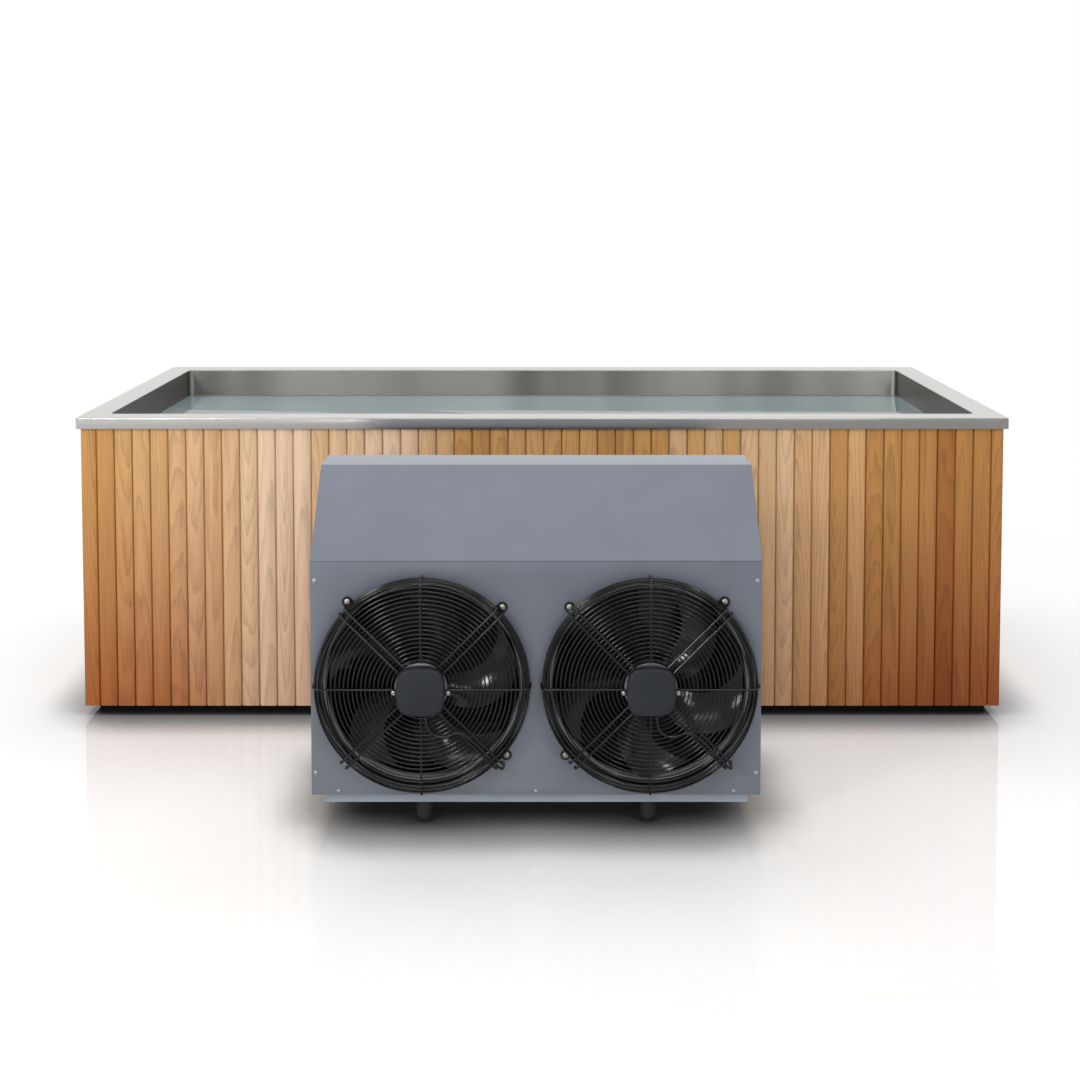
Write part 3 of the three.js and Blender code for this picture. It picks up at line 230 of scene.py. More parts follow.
def dress(obj, material, nodes=(), body=ROOT, smooth=35, bevel=0.0, segments=2):
    mesh = obj.data
    for polygon in mesh.polygons:
        polygon.use_smooth = True
    mesh.set_sharp_from_angle(angle=math.radians(smooth))
    mesh.materials.clear()
    mesh.materials.append(material)
    if bevel:
        modifier = obj.modifiers.new("edges", "BEVEL")
        modifier.width = bevel
        modifier.segments = segments
        modifier.limit_method = "ANGLE"
        modifier.angle_limit = math.radians(30)
        modifier.use_clamp_overlap = True
    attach(obj, body)
    if nodes:
        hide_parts(*nodes)
    return obj


def piece(name, form, material, nodes=(), **options):
    if not isinstance(form, Form):
        form = Form().add(form)
    bm = bmesh.new()
    verts = [bm.verts.new(v) for v in form.verts]
    for face in form.faces:
        bm.faces.new([verts[i] for i in face])
    bmesh.ops.recalc_face_normals(bm, faces=bm.faces)
    mesh = bpy.data.meshes.new(name)
    bm.to_mesh(mesh)
    bm.free()
    obj = bpy.data.objects.new(name, mesh)
    bpy.context.collection.objects.link(obj)
    return dress(obj, material, nodes, **options)


def softened(node, material, bevel, body=ROOT):
    """A copy of a flat-sided node with its edges broken."""
    bm = bmesh.new()
    bm.from_mesh(frame["nodes"][node].data)
    bmesh.ops.remove_doubles(bm, verts=bm.verts, dist=1e-6)
    bmesh.ops.dissolve_limit(bm, angle_limit=math.radians(1), verts=bm.verts, edges=bm.edges)
    mesh = bpy.data.meshes.new(node + "_softened")
    bm.to_mesh(mesh)
    bm.free()
    obj = bpy.data.objects.new(node + "_softened", mesh)
    bpy.context.collection.objects.link(obj)
    return dress(obj, material, [node], body=body, bevel=bevel)


# Materials

class Shader:
    def __init__(self, name, **values):
        self.material = bpy.data.materials.new(name)
        self.material.use_nodes = True
        self.tree = self.material.node_tree
        self.bsdf = self.tree.nodes["Principled BSDF"]
        for key, value in values.items():
            self.bsdf.inputs[key.replace("_", " ")].default_value = value

    def node(self, kind, **settings):
        made = self.tree.nodes.new(kind)
        for key, value in settings.items():
            setattr(made, key, value)
        return made

    def link(self, source, target):
        self.tree.links.new(source, target)

    def into(self, socket, source):
        self.link(source, self.bsdf.inputs[socket])

    def position(self, scale=(1, 1, 1)):
        coordinates = self.node("ShaderNodeTexCoord")
        return self.scaled(coordinates.outputs["Object"], scale)

    def scaled(self, vector, scale):
        mapping = self.node("ShaderNodeMapping")
        mapping.inputs["Scale"].default_value = scale
        self.link(vector, mapping.inputs["Vector"])
        return mapping.outputs["Vector"]

    def attribute(self, name):
        return self.node("ShaderNodeAttribute", attribute_name=name)

    def noise(self, vector, scale, detail=3.0, roughness=0.5):
        made = self.node("ShaderNodeTexNoise")
        made.inputs["Scale"].default_value = scale
        made.inputs["Detail"].default_value = detail
        made.inputs["Roughness"].default_value = roughness
        self.link(vector, made.inputs["Vector"])
        return made.outputs["Fac"]

    def ramp(self, factor, stops, interpolation="LINEAR"):
        made = self.node("ShaderNodeValToRGB")
        made.color_ramp.interpolation = interpolation
        elements = made.color_ramp.elements
        while len(elements) < len(stops):
            elements.new(0.5)
        for element, (at, value) in zip(elements, stops):
            element.position = at
            element.color = (*value, 1) if hasattr(value, "__len__") else (value, value, value, 1)
        self.link(factor, made.inputs["Fac"])
        return made.outputs["Color"]

    def math(self, operation, a, b=None, c=None):
        made = self.node("ShaderNodeMath", operation=operation)
        for socket, value in zip(made.inputs, (a, b, c)):
            if value is None:
                continue
            if isinstance(value, (int, float)):
                socket.default_value = value
            else:
                self.link(value, socket)
        return made.outputs["Value"]

    def mix(self, factor, a, b, blend="MIX"):
        made = self.node("ShaderNodeMix", data_type="RGBA", blend_type=blend)
        for socket, value in ((made.inputs["Factor"], factor), (made.inputs[6], a), (made.inputs[7], b)):
            if isinstance(value, (int, float)):
                socket.default_value = value
            elif isinstance(value, tuple):
                socket.default_value = (*value, 1)
            else:
                self.link(value, socket)
        return made.outputs[2]

    def range(self, factor, low, high):
        made = self.node("ShaderNodeMapRange")
        made.inputs["To Min"].default_value = low
        made.inputs["To Max"].default_value = high
        self.link(factor, made.inputs["Value"])
        return made.outputs["Result"]

    def bump(self, height, strength, distance, normal=None):
        made = self.node("ShaderNodeBump")
        made.inputs["Strength"].default_value = strength
        made.inputs["Distance"].default_value = distance
        self.link(height, made.inputs["Height"])
        if normal:
            self.link(normal, made.inputs["Normal"])
        self.link(made.outputs["Normal"], self.bsdf.inputs["Normal"])
        return made.outputs["Normal"]


def brushed(name, color, spread_of_tone, rough, along=(2, 160, 160), painted_sheen=None):
    """Metal with fine lines along its length, a slow change of tone and, if asked, broad bands of painted sheen in
    its colour.
    """
    s = Shader(name, Metallic=1.0)
    lines = s.noise(s.position(along), 4, 2)
    cloud = s.noise(s.position(), 3.5, 2)
    low = tuple(c * (1 - spread_of_tone) for c in color)
    both = s.math("MULTIPLY", s.math("ADD", lines, cloud), 0.5)
    tone = s.ramp(both, [(0.3, low), (0.7, color)])
    if painted_sheen:
        # Painted sheen: broad bands that lighten and darken the colour, standing for reflected light.
        highlight_bands = s.ramp(s.noise(s.position(painted_sheen), 1.0, 2), [(0.32, 0.62), (0.62, 1.3)], "EASE")
        tone = s.mix(1.0, tone, highlight_bands, "MULTIPLY")
    s.into("Base Color", tone)
    s.into("Roughness", s.range(lines, rough[0], rough[1]))
    s.bump(lines, 0.05, 0.0005)
    return s.material


def moulded(name, color, rough, grain=700, strength=0.08, tone=0.12, **values):
    """Plastic, rubber or paint: fine skin texture, slow mottling of colour and gloss."""
    s = Shader(name, **values)
    fine = s.noise(s.position(), grain, 2)
    slow = s.noise(s.position(), 9, 3)
    low = tuple(c * (1 - tone) for c in color)
    high = tuple(min(1, c * (1 + tone)) for c in color)
    s.into("Base Color", s.ramp(slow, [(0.3, low), (0.7, high)]))
    s.into("Roughness", s.range(slow, rough[0], rough[1]))
    s.bump(fine, strength, 0.0006)
    return s.material


def timber_boards(name):
    """Oiled boards; each has its own tone, growth rings and fibres from the attributes of its mesh."""
    s = Shader(name, Specular_IOR_Level=0.25)
    grain = s.attribute("grain").outputs["Vector"]
    tone = s.attribute("tone").outputs["Fac"]
    foot_darkening = s.attribute("foot_darkening").outputs["Fac"]
    parts = s.node("ShaderNodeSeparateXYZ")
    s.link(grain, parts.inputs["Vector"])
    sway = s.noise(s.scaled(grain, (30, 30, 4)), 1.0, 2)
    radius = s.math("SQRT", s.math("ADD", s.math("MULTIPLY", parts.outputs["X"], parts.outputs["X"]),
                                   s.math("MULTIPLY", parts.outputs["Y"], parts.outputs["Y"])))
    swayed = s.math("ADD", radius, s.math("MULTIPLY", sway, 0.012))
    turns = s.math("FRACT", s.math("MULTIPLY", swayed, 190))
    rings = s.ramp(turns, [(0.0, 0.25), (0.55, 0.6), (0.88, 1.0), (1.0, 0.25)])
    fibres = s.noise(s.scaled(grain, (700, 700, 9)), 1.0, 3, 0.6)
    streaks = s.noise(s.scaled(grain, (90, 90, 2.2)), 1.0, 3, 0.6)
    light = (0.88, 0.63, 0.43)
    amber = (0.68, 0.365, 0.120)
    brown = (0.43, 0.170, 0.040)
    base = s.ramp(tone, [(0.0, light), (0.5, amber), (1.0, brown)])
    figure = s.math("ADD", s.math("MULTIPLY", rings, 0.45), s.math("MULTIPLY", streaks, 0.75))
    shade = s.ramp(figure, [(0.25, 1.0), (0.6, 0.90), (0.95, 0.66)])
    colored = s.mix(1.0, base, shade, "MULTIPLY")
    fine = s.ramp(fibres, [(0.3, 1.06), (0.7, 0.9)])
    fibred = s.mix(1.0, colored, fine, "MULTIPLY")
    # Darker and redder towards the foot of each board, most at the ends of a wall.
    s.into("Base Color", s.mix(foot_darkening, fibred, s.mix(1.0, fibred, (0.64, 0.37, 0.28), "MULTIPLY")))
    s.into("Roughness", s.range(streaks, 0.42, 0.62))
    s.bump(fibres, 0.12, 0.0008)
    return s.material


def still_water(name):
    s = Shader(name, Roughness=0.02, IOR=1.333, Transmission_Weight=0.55)
    slow = s.noise(s.position((1, 1.6, 1)), 2.2, 2)
    s.into("Base Color", s.ramp(slow, [(0.3, (0.25, 0.325, 0.34)), (0.7, (0.30, 0.375, 0.385))]))
    ripple = s.noise(s.position((1, 1.4, 1)), 5, 2)
    s.bump(ripple, 0.12, 0.004)
    return s.material


def grained_board(name, color):
    s = Shader(name)
    lines = s.noise(s.position((3, 60, 60)), 1.0, 4, 0.6)
    low = tuple(c * 0.75 for c in color)
    s.into("Base Color", s.ramp(lines, [(0.3, low), (0.7, color)]))
    s.into("Roughness", s.range(lines, 0.6, 0.8))
    s.bump(lines, 0.1, 0.0008)
    return s.material


stainless = brushed("stainless", (0.66, 0.645, 0.62), 0.10, (0.24, 0.36))
# Painted shade and painted sheen: a darker copy of the stainless for the inside of the well, with bands of painted
# sheen across it.
satin = brushed("satin", (0.47, 0.46, 0.44), 0.12, (0.26, 0.38), painted_sheen=(3.2, 0.6, 0))
# Painted shade: a still darker copy of the stainless for the end walls of the well.
side_wall_painted_shade = brushed("side_wall_painted_shade", (0.19, 0.185, 0.175), 0.12, (0.26, 0.38), (160, 2, 160))
timber = timber_boards("timber")
water_look = still_water("water")
black_paint = moulded("black_paint", (0.007, 0.006, 0.005), (0.6, 0.8), 500, Specular_IOR_Level=0.2)
galvanised = brushed("galvanised", (0.46, 0.48, 0.49), 0.25, (0.4, 0.6), (30, 30, 30))
plywood = grained_board("plywood", (0.52, 0.40, 0.25))
dark_plastic = moulded("dark_plastic", (0.022, 0.024, 0.026), (0.35, 0.5), 900, 0.08)
brass = brushed("brass", (0.62, 0.43, 0.16), 0.15, (0.28, 0.42), (40, 40, 40))
powder_coat = moulded("powder_coat", (0.135, 0.152, 0.187), (0.40, 0.48), 1100, 0.10, 0.05,
                      Coat_Weight=0.5, Coat_Roughness=0.22)
# Painted light: a lighter copy of the powder coat, so that the skids in the shade under the panels read as bright as
# the panels.
skid_coat_painted_light = moulded("skid_coat_painted_light", (0.36, 0.40, 0.46), (0.40, 0.48), 1100, 0.10, 0.05)
fan_black = moulded("fan_black", (0.005, 0.005, 0.006), (0.14, 0.22), 300, 0.02)
blade_black = moulded("blade_black", (0.015, 0.017, 0.017), (0.13, 0.19), 300, 0.02, Specular_IOR_Level=0.6)
# Painted highlight: a lighter grey for the rolled lip of each black bell mouth, standing for the light it catches.
bell_lip_painted_highlight = moulded("bell_lip_painted_highlight", (0.24, 0.25, 0.27), (0.18, 0.28), 300, 0.02)
wire_black = moulded("wire_black", (0.003, 0.003, 0.003), (0.10, 0.16), 800, 0.03, Specular_IOR_Level=0.7)
cap_grey = moulded("cap_grey", (0.021, 0.024, 0.029), (0.45, 0.55), 1500, 0.10, Specular_IOR_Level=0.25)
cast_aluminium = brushed("cast_aluminium", (0.26, 0.26, 0.26), 0.2, (0.3, 0.5), (60, 60, 60))
rubber = moulded("rubber", (0.020, 0.020, 0.020), (0.6, 0.8), 600, 0.1)
# Painted shade: the fins are near black so the inside of the cabinet reads dark through the fans.
fin_stock = brushed("fin_stock", (0.05, 0.052, 0.054), 0.2, (0.35, 0.5), (60, 60, 3))
lever_red = moulded("lever_red", (0.40, 0.025, 0.018), (0.4, 0.55), 900, 0.08)
zinc = brushed("zinc", (0.66, 0.66, 0.65), 0.15, (0.22, 0.35), (200, 200, 200))

KEPT_NODES = {
    "tub_frame": galvanised,
    "floor_deck": plywood,
    "floor_pan": galvanised,
    "compressor": black_paint,
    "heat_exchanger": dark_plastic,
    "circulation_pump": dark_plastic,
    "control_box": dark_plastic,
}


def dress_kept_nodes():
    for node, material in KEPT_NODES.items():
        mesh = frame["nodes"][node].data
        mesh.materials.clear()
        mesh.materials.append(material)


# Tub

rim_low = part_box("basin_front")[0]
rim_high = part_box("basin_rear")[1]
tub_centre = (rim_low + rim_high) / 2
RIM_FLANGE = 66 * MM
RIM_LIP = 28 * MM
RIM_BEND = 3 * MM
RIM_CORNER = 5 * MM
SHEET = 2 * MM
BASIN_CORNER = 18 * MM
FLOOR_BEND = 8 * MM
WATER_DEPTH_BELOW_RIM = 82 * MM
BEND_STEPS = 5


def basin():
    """The welded sheets as one skin of level loops: up the outside, over the rim, down the inside."""
    half = (rim_high - rim_low) / 2
    top = rim_high.z
    under = rim_low.z
    loops = []

    def add(inset, z, radius):
        loops.append(rounded_loop(half.x - inset, half.y - inset, z, max(radius, 1 * MM), tub_centre))

    bends = [math.pi / 2 * k / BEND_STEPS for k in range(BEND_STEPS + 1)]
    outside = FLOOR_BEND + SHEET
    wall = RIM_FLANGE - SHEET
    for a in bends:
        inset = outside * (1 - math.sin(a))
        add(wall + inset, under + outside * (1 - math.cos(a)), BASIN_CORNER + SHEET - inset)
    add(wall, top - SHEET, BASIN_CORNER + SHEET)
    add(SHEET, top - SHEET, RIM_CORNER - SHEET)
    add(SHEET, top - RIM_LIP, RIM_CORNER - SHEET)
    add(0.3 * MM, top - RIM_LIP, RIM_CORNER)
    add(0, top - RIM_LIP + 0.4 * MM, RIM_CORNER)
    for a in bends:
        inset = RIM_BEND * (1 - math.cos(a))
        add(inset, top - RIM_BEND * (1 - math.sin(a)), RIM_CORNER - inset)
    for a in bends:
        inset = RIM_BEND * (1 - math.sin(a))
        add(RIM_FLANGE - inset, top - RIM_BEND * (1 - math.cos(a)), BASIN_CORNER + inset)
    for a in reversed(bends):
        inset = FLOOR_BEND * (1 - math.sin(a))
        floor = under + SHEET
        add(RIM_FLANGE + inset, floor + FLOOR_BEND * (1 - math.cos(a)), BASIN_CORNER - inset)
    sheets = ["basin_" + side for side in ("front", "right", "rear", "left", "floor")]
    obj = piece("basin_sheets", skin(loops), stainless, sheets, smooth=40)
    obj.data.materials.append(satin)
    obj.data.materials.append(side_wall_painted_shade)
    # The faces inside the well take the painted-shade copies of the stainless: the end walls the darker one, the
    # rest the one with painted sheen.
    for polygon in obj.data.polygons:
        away = polygon.center - tub_centre
        in_well = max(abs(away.x) - half.x, abs(away.y) - half.y) < -RIM_FLANGE + 0.2 * MM
        if in_well and polygon.center.z < top - RIM_BEND:
            polygon.material_index = 2 if abs(polygon.normal.x) > 0.7 else 1


def water():
    """Still water up to its level, with the raised edge where it meets the wall."""
    half = (rim_high - rim_low) / 2
    level = rim_high.z - WATER_DEPTH_BELOW_RIM
    floor = rim_low.z + SHEET + 0.5 * MM
    edge = RIM_FLANGE + 0.4 * MM
    loops = []
    for inset, z, radius in (
            (edge + FLOOR_BEND, floor, 2 * MM),
            (edge + 3 * MM, floor + 3 * MM, BASIN_CORNER - 3 * MM),
            (edge, floor + FLOOR_BEND, BASIN_CORNER),
            (edge, level + 2 * MM, BASIN_CORNER),
            (edge + 2 * MM, level + 0.8 * MM, BASIN_CORNER),
            (edge + 6 * MM, level, BASIN_CORNER)):
        loops.append(rounded_loop(half.x - inset, half.y - inset, z, radius, tub_centre))
    piece("water", skin(loops), water_look, smooth=40)


BOARD_PITCH = 45 * MM
FIRST_BOARD = 40 * MM
LEAST_BOARD = 14 * MM
BOARD_GAP = 3.2 * MM
TONGUE_DEPTH = 7 * MM
BOARD_EDGE = 1.6 * MM
WALLS = {
    "front": (Vector((1, 0, 0)), Vector((0, -1, 0))),
    "right": (Vector((0, 1, 0)), Vector((1, 0, 0))),
    "rear": (Vector((-1, 0, 0)), Vector((0, 1, 0))),
    "left": (Vector((0, -1, 0)), Vector((-1, 0, 0))),
}


# Tone along a wall: mostly the boards' own tone, partly painted shade, since boards in the middle of the wall,
# shaded by the rim and the chiller, get darker tones.
TONE_AND_SHADE_ALONG_WALL = ((0, 0.50), (0.17, 0.08), (0.36, 0.16), (0.42, 0.56), (0.60, 0.56),
                   (0.66, 0.27), (0.75, 0.24), (0.80, 0.52), (0.92, 0.90), (1, 1))


def board_tone(share):
    """From pale (0) through amber to brown (1), for a board at a share of its wall's length; the trend holds some
    painted shade.
    """
    usual = np.interp(share, *zip(*TONE_AND_SHADE_ALONG_WALL))
    return min(1.0, max(0.0, usual + draw.gauss(0, 0.12)))


def board_foot_darkening(share):
    """How much the foot of a board has darkened: most at the ends of a wall."""
    left = min(1.0, max(0.0, (0.17 - share) / 0.07))
    right = min(1.0, max(0.0, (share - 0.72) / 0.2))
    return 0.35 + 0.75 * max(left, right)


def boards(name, along, outward):
    """Tongued boards side by side; attributes carry each board's tone, darker foot and grain."""
    low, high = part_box(name + "_cladding")
    corners = [Vector((x, y, 0)) for x in (low.x, high.x) for y in (low.y, high.y)]
    start = min(c.dot(along) for c in corners)
    length = max(c.dot(along) for c in corners) - start
    face = max(c.dot(outward) for c in corners)
    depth = face - min(c.dot(outward) for c in corners)
    joints = [0.0]
    at = FIRST_BOARD
    while at < length - LEAST_BOARD:
        joints.append(at)
        at += BOARD_PITCH
    joints.append(length)
    form = Form()
    tone, foot_darkening, grain = [], [], []
    levels = [low.z, low.z + 1 * MM] + [mixed(low.z, high.z, k / 6) for k in range(1, 7)]
    for a, b in zip(joints, joints[1:]):
        proud = draw.uniform(-0.3, 0.3) * MM
        tight = 0.05 * MM
        front = [(a + BOARD_GAP / 2, TONGUE_DEPTH), (a + BOARD_GAP / 2, BOARD_EDGE - proud)]
        front += [(a + BOARD_GAP / 2 + BOARD_EDGE, -proud), (b - BOARD_GAP / 2 - BOARD_EDGE, -proud)]
        front += [(b - BOARD_GAP / 2, BOARD_EDGE - proud), (b - BOARD_GAP / 2, TONGUE_DEPTH)]
        back = [(b - tight, TONGUE_DEPTH), (b - tight, depth), (a + tight, depth), (a + tight, TONGUE_DEPTH)]
        outline = front + back
        value = board_tone((a + b) / 2 / length)
        foot_dark = board_foot_darkening((a + b) / 2 / length)
        tilt = draw.choice((-1, 1)) * draw.uniform(0.01, 0.06)
        across = draw.uniform(-0.03, 0.03)
        heart = draw.uniform(0.01, 0.09)
        shift = draw.uniform(0, 50)
        loops = []
        for z in levels:
            loop = []
            for u, d in outline:
                point = along * (start + u) + outward * (face - d)
                loop.append((point.x, point.y, z))
                height = (z - low.z) / (high.z - low.z)
                tone.append(value)
                foot_darkening.append(min(1.0, foot_dark * (1 - height) ** 1.4))
                grain.append((u - (a + b) / 2 + across, heart + d + tilt * z, z + shift))
            loops.append(loop)
        form.add(skin(loops))
    obj = piece(name + "_boards", form, timber, [name + "_cladding"], smooth=50)
    for key, values, kind in (("tone", tone, "FLOAT"), ("foot_darkening", foot_darkening, "FLOAT"),
                              ("grain", grain, "FLOAT_VECTOR")):
        layer = obj.data.attributes.new(key, kind, "POINT")
        layer.data.foreach_set("vector" if kind == "FLOAT_VECTOR" else "value", np.ravel(values))


def plinths():
    for wall in WALLS:
        softened(wall + "_plinth", black_paint, 1.5 * MM)


# Water fittings

FITTING_BORE = 17 * MM
FITTING_TUBE = 22 * MM


def along_y(node):
    """Middle of a node across the Y axis, with its ends along it."""
    low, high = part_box(node)
    return (low.x + high.x) / 2, (low.z + high.z) / 2, low.y, high.y, (high.x - low.x) / 2


def wall_fitting(name, inside):
    """Flanged tube through the wall; inside is +1 where the basin lies on the +Y side."""
    x, z, y0, y1, flange = along_y(name + "_fitting")
    outer, inner = (y0, y1) if inside > 0 else (y1, y0)
    seat = inner - inside * 4 * MM
    profile = [(FITTING_BORE, outer), (FITTING_TUBE, outer), (FITTING_TUBE, seat), (flange, seat),
               (flange, inner), (FITTING_BORE, inner)]
    shape = turned(fillet(profile, 1 * MM, 2), 48, closed=True)
    piece(name + "_tube", Form().add(shape, place(x, 0, z)), dark_plastic, [name + "_fitting"])


def suction_strainer():
    x, z, y0, y1, radius = along_y("suction_grille")
    form = Form().add(ring(radius - 3 * MM, (y0 + y1) / 2, 2.5 * MM, 64, 12), place(x, 0, z))
    for share in (0.30, 0.55):
        form.add(ring(radius * share, (y0 + y1) / 2, 1.6 * MM, 48, 8), place(x, 0, z))
    for k in range(6):
        turn = Matrix.Rotation(math.pi * k / 6, 4, "Y")
        bar = block((-radius + 3 * MM, y0 + 1 * MM, -1.3 * MM), (radius - 3 * MM, y1 - 1 * MM, 1.3 * MM))
        form.add(bar, place(x, 0, z) @ turn)
    piece("suction_strainer", form, dark_plastic, ["suction_grille"], bevel=0.5 * MM)


def return_jet():
    x, z, y0, y1, radius = along_y("return_nozzle")
    throat = FITTING_BORE * 2 / 3
    profile = [(throat, y0), (radius, y0), (radius - 2 * MM, y0 + 5 * MM), (throat + 9 * MM, y0 + 9 * MM),
               (throat + 5 * MM, y1), (throat, y1)]
    shape = turned(fillet(profile, 2 * MM, 3), 48, closed=True)
    piece("return_jet", Form().add(shape, place(x, 0, z)), dark_plastic, ["return_nozzle"])


VALVE_PORT = 15 * MM
VALVE_WALL = 7 * MM
STEM_BOSS = 13.4 * MM


def drain_valve():
    x, z, inlet, outlet, outside = along_y("drain_valve_body")
    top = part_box("drain_valve_body")[1].z
    ball_y = sum(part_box("drain_valve_ball")[k].y for k in (0, 1)) / 2
    end = VALVE_PORT + VALVE_WALL
    profile = [(VALVE_PORT, outlet), (end, outlet), (end, ball_y + 24 * MM), (outside, ball_y + 12 * MM),
               (outside, inlet), (FITTING_TUBE + 0.4 * MM, inlet), (FITTING_TUBE + 0.4 * MM, ball_y - 34 * MM),
               (VALVE_PORT, ball_y - 34 * MM)]
    form = Form().add(turned(fillet(profile, 1.5 * MM, 3), 48, closed=True), place(x, 0, z))
    hexagon = turned([(outside + 2.5 * MM, inlet + 1 * MM), (outside + 2.5 * MM, inlet + 12 * MM)], 6)
    form.add(hexagon, place(x, 0, z))
    boss = turned(fillet([(STEM_BOSS, 20 * MM), (STEM_BOSS, top - z), (7.6 * MM, top - z), (7.6 * MM, 20 * MM)],
                         1 * MM, 2), 36, closed=True)
    form.add(boss, place(x, ball_y, z) @ Matrix.Rotation(math.pi / 2, 4, "X"))
    piece("drain_valve", form, brass, ["drain_valve_body"], smooth=30)


def drain_ball():
    low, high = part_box("drain_valve_ball")
    middle = (low + high) / 2
    radius = (high.z - low.z) / 2
    reach = math.asin(VALVE_PORT / radius)
    profile = []
    for k in range(13):
        a = reach + (math.pi - 2 * reach) * k / 12
        profile.append((radius * math.sin(a), radius * math.cos(a)))
    shape = turned(profile + [(VALVE_PORT, profile[-1][1]), (VALVE_PORT, profile[0][1])], 40, closed=True)
    turn = place(*middle) @ Matrix.Rotation(math.pi / 2, 4, "Z")
    piece("drain_ball", Form().add(shape, turn), stainless, ["drain_valve_ball"], body="drain_lever")


LEVER_HALF = 10 * MM
GRIP_EXTRA = 2 * MM


def drain_lever():
    """Pressed handle with a dipped grip, and the stem with its nut."""
    low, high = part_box("drain_valve_lever")
    ball_low, ball_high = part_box("drain_valve_ball")
    x = (ball_low.x + ball_high.x) / 2
    y = (ball_low.y + ball_high.y) / 2
    arm_z = high.z - 10 * MM
    far = low.x + LEVER_HALF
    outline = []
    for middle, first in ((far, math.pi / 2), (x, -math.pi / 2)):
        for k in range(13):
            a = first + math.pi * k / 12
            outline.append((middle + LEVER_HALF * math.cos(a), y + LEVER_HALF * math.sin(a)))
    form = Form().add(prism(outline, arm_z, arm_z + 5 * MM))
    stem = turned(fillet([(7 * MM, low.z), (7 * MM, high.z)], 1 * MM, 2, False), 24)
    upright = place(x, y, 0) @ Matrix.Rotation(math.pi / 2, 4, "X")
    form.add(stem, upright)
    form.add(turned([(11 * MM, arm_z + 5 * MM), (11 * MM, high.z - 1 * MM)], 6), upright)
    piece("drain_handle", form, zinc, ["drain_valve_lever"], body="drain_lever", bevel=0.8 * MM)
    grip = []
    for u, w, h in ((0.0, 0.6, 0.6), (0.05, 0.9, 0.9), (0.2, 1, 1), (0.5, 0.92, 0.95), (0.9, 1, 1), (1.0, 0.7, 0.7)):
        at = low.x + 1 * MM + u * 66 * MM
        half_w = (LEVER_HALF + GRIP_EXTRA) * w
        half_h = 5 * MM * h
        loop = []
        for k in range(20):
            a = 2 * math.pi * k / 20
            c, s = math.cos(a), math.sin(a)
            loop.append((at, y + half_w * math.copysign(abs(c) ** 0.6, c),
                         arm_z + 2.5 * MM + half_h * math.copysign(abs(s) ** 0.6, s)))
        grip.append(loop)
    obj = piece("drain_grip", skin(grip), lever_red, body="drain_lever")


def tub():
    basin()
    water()
    for name, (along, outward) in WALLS.items():
        boards(name, along, outward)
    plinths()
    for name in ("suction", "return"):
        wall_fitting(name, 1)
        softened(name + "_union", dark_plastic, 1.2 * MM)
    wall_fitting("drain", -1)
    suction_strainer()
    return_jet()
    drain_valve()
    drain_ball()
    drain_lever()


# Chiller cabinet

panel_low, panel_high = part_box("front_panel")
hood_low, hood_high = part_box("chiller_hood")
rear_low, rear_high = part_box("rear_panel")
panel_y = panel_low.y
cabinet_x = (panel_low.x + panel_high.x) / 2
SLOPE_RUN = 163 * MM
SLOPE_RISE = 167 * MM
FOLD = 4 * MM
PANEL_RETURN = 18 * MM
HOLE_RADIUS = 219 * MM


def hood():
    """One sheet folded over the cabinet, drawn as a strip of its section."""
    top = hood_high.z
    eave = top - SLOPE_RISE
    ridge_front = hood_low.y + SLOPE_RUN
    ridge_rear = hood_high.y - SLOPE_RUN
    outer = [(hood_low.y, eave), (ridge_front, top), (ridge_rear, top), (hood_high.y, eave)]
    outer = fillet(outer, FOLD, 4, closed=False)
    steep = SHEET * math.hypot(SLOPE_RUN, SLOPE_RISE) / SLOPE_RUN
    flat = SHEET * math.tan(math.atan2(SLOPE_RISE, SLOPE_RUN) / 2)
    inner = [(hood_low.y, eave - steep), (ridge_front + flat, top - SHEET),
             (ridge_rear - flat, top - SHEET), (hood_high.y, eave - steep)]
    inner = fillet(inner, FOLD - SHEET, 4, closed=False)
    section = outer + inner[::-1]
    shape = prism(section, hood_low.x, hood_high.x, "YZX")
    piece("hood_sheet", shape, powder_coat, ["chiller_hood"], smooth=25, bevel=0.5 * MM)


def sheet_with_holes(outline, holes, y0, y1, edge):
    """A flat plate in the XZ plane between y0 and y1, with openings, as vertices and faces."""
    curve = bpy.data.curves.new("plate", "CURVE")
    curve.dimensions = "2D"
    curve.fill_mode = "BOTH"
    curve.extrude = (y1 - y0) / 2 - edge
    curve.bevel_depth = edge
    curve.bevel_resolution = 1
    curve.offset = -edge
    for loop in [outline] + holes:
        spline = curve.splines.new("POLY")
        spline.points.add(len(loop) - 1)
        for point, (x, z) in zip(spline.points, loop):
            point.co = (x, z, 0, 1)
        spline.use_cyclic_u = True
    holder = bpy.data.objects.new("plate", curve)
    bpy.context.collection.objects.link(holder)
    bpy.context.view_layer.update()
    mesh = bpy.data.meshes.new_from_object(holder.evaluated_get(bpy.context.evaluated_depsgraph_get()))
    bm = bmesh.new()
    bm.from_mesh(mesh)
    bmesh.ops.remove_doubles(bm, verts=bm.verts, dist=1e-6)
    bm.verts.ensure_lookup_table()
    middle = (y0 + y1) / 2
    verts = [(v.co.x, middle - v.co.z, v.co.y) for v in bm.verts]
    faces = [tuple(v.index for v in f.verts) for f in bm.faces]
    bm.free()
    bpy.data.objects.remove(holder)
    bpy.data.curves.remove(curve)
    bpy.data.meshes.remove(mesh)
    return verts, faces


def circle(x, z, radius, segments=96):
    made = []
    for k in range(segments):
        a = -2 * math.pi * k / segments
        made.append((x + radius * math.cos(a), z + radius * math.sin(a)))
    return made


def rectangle(x0, z0, x1, z1):
    return [(x0, z0), (x1, z0), (x1, z1), (x0, z1)]


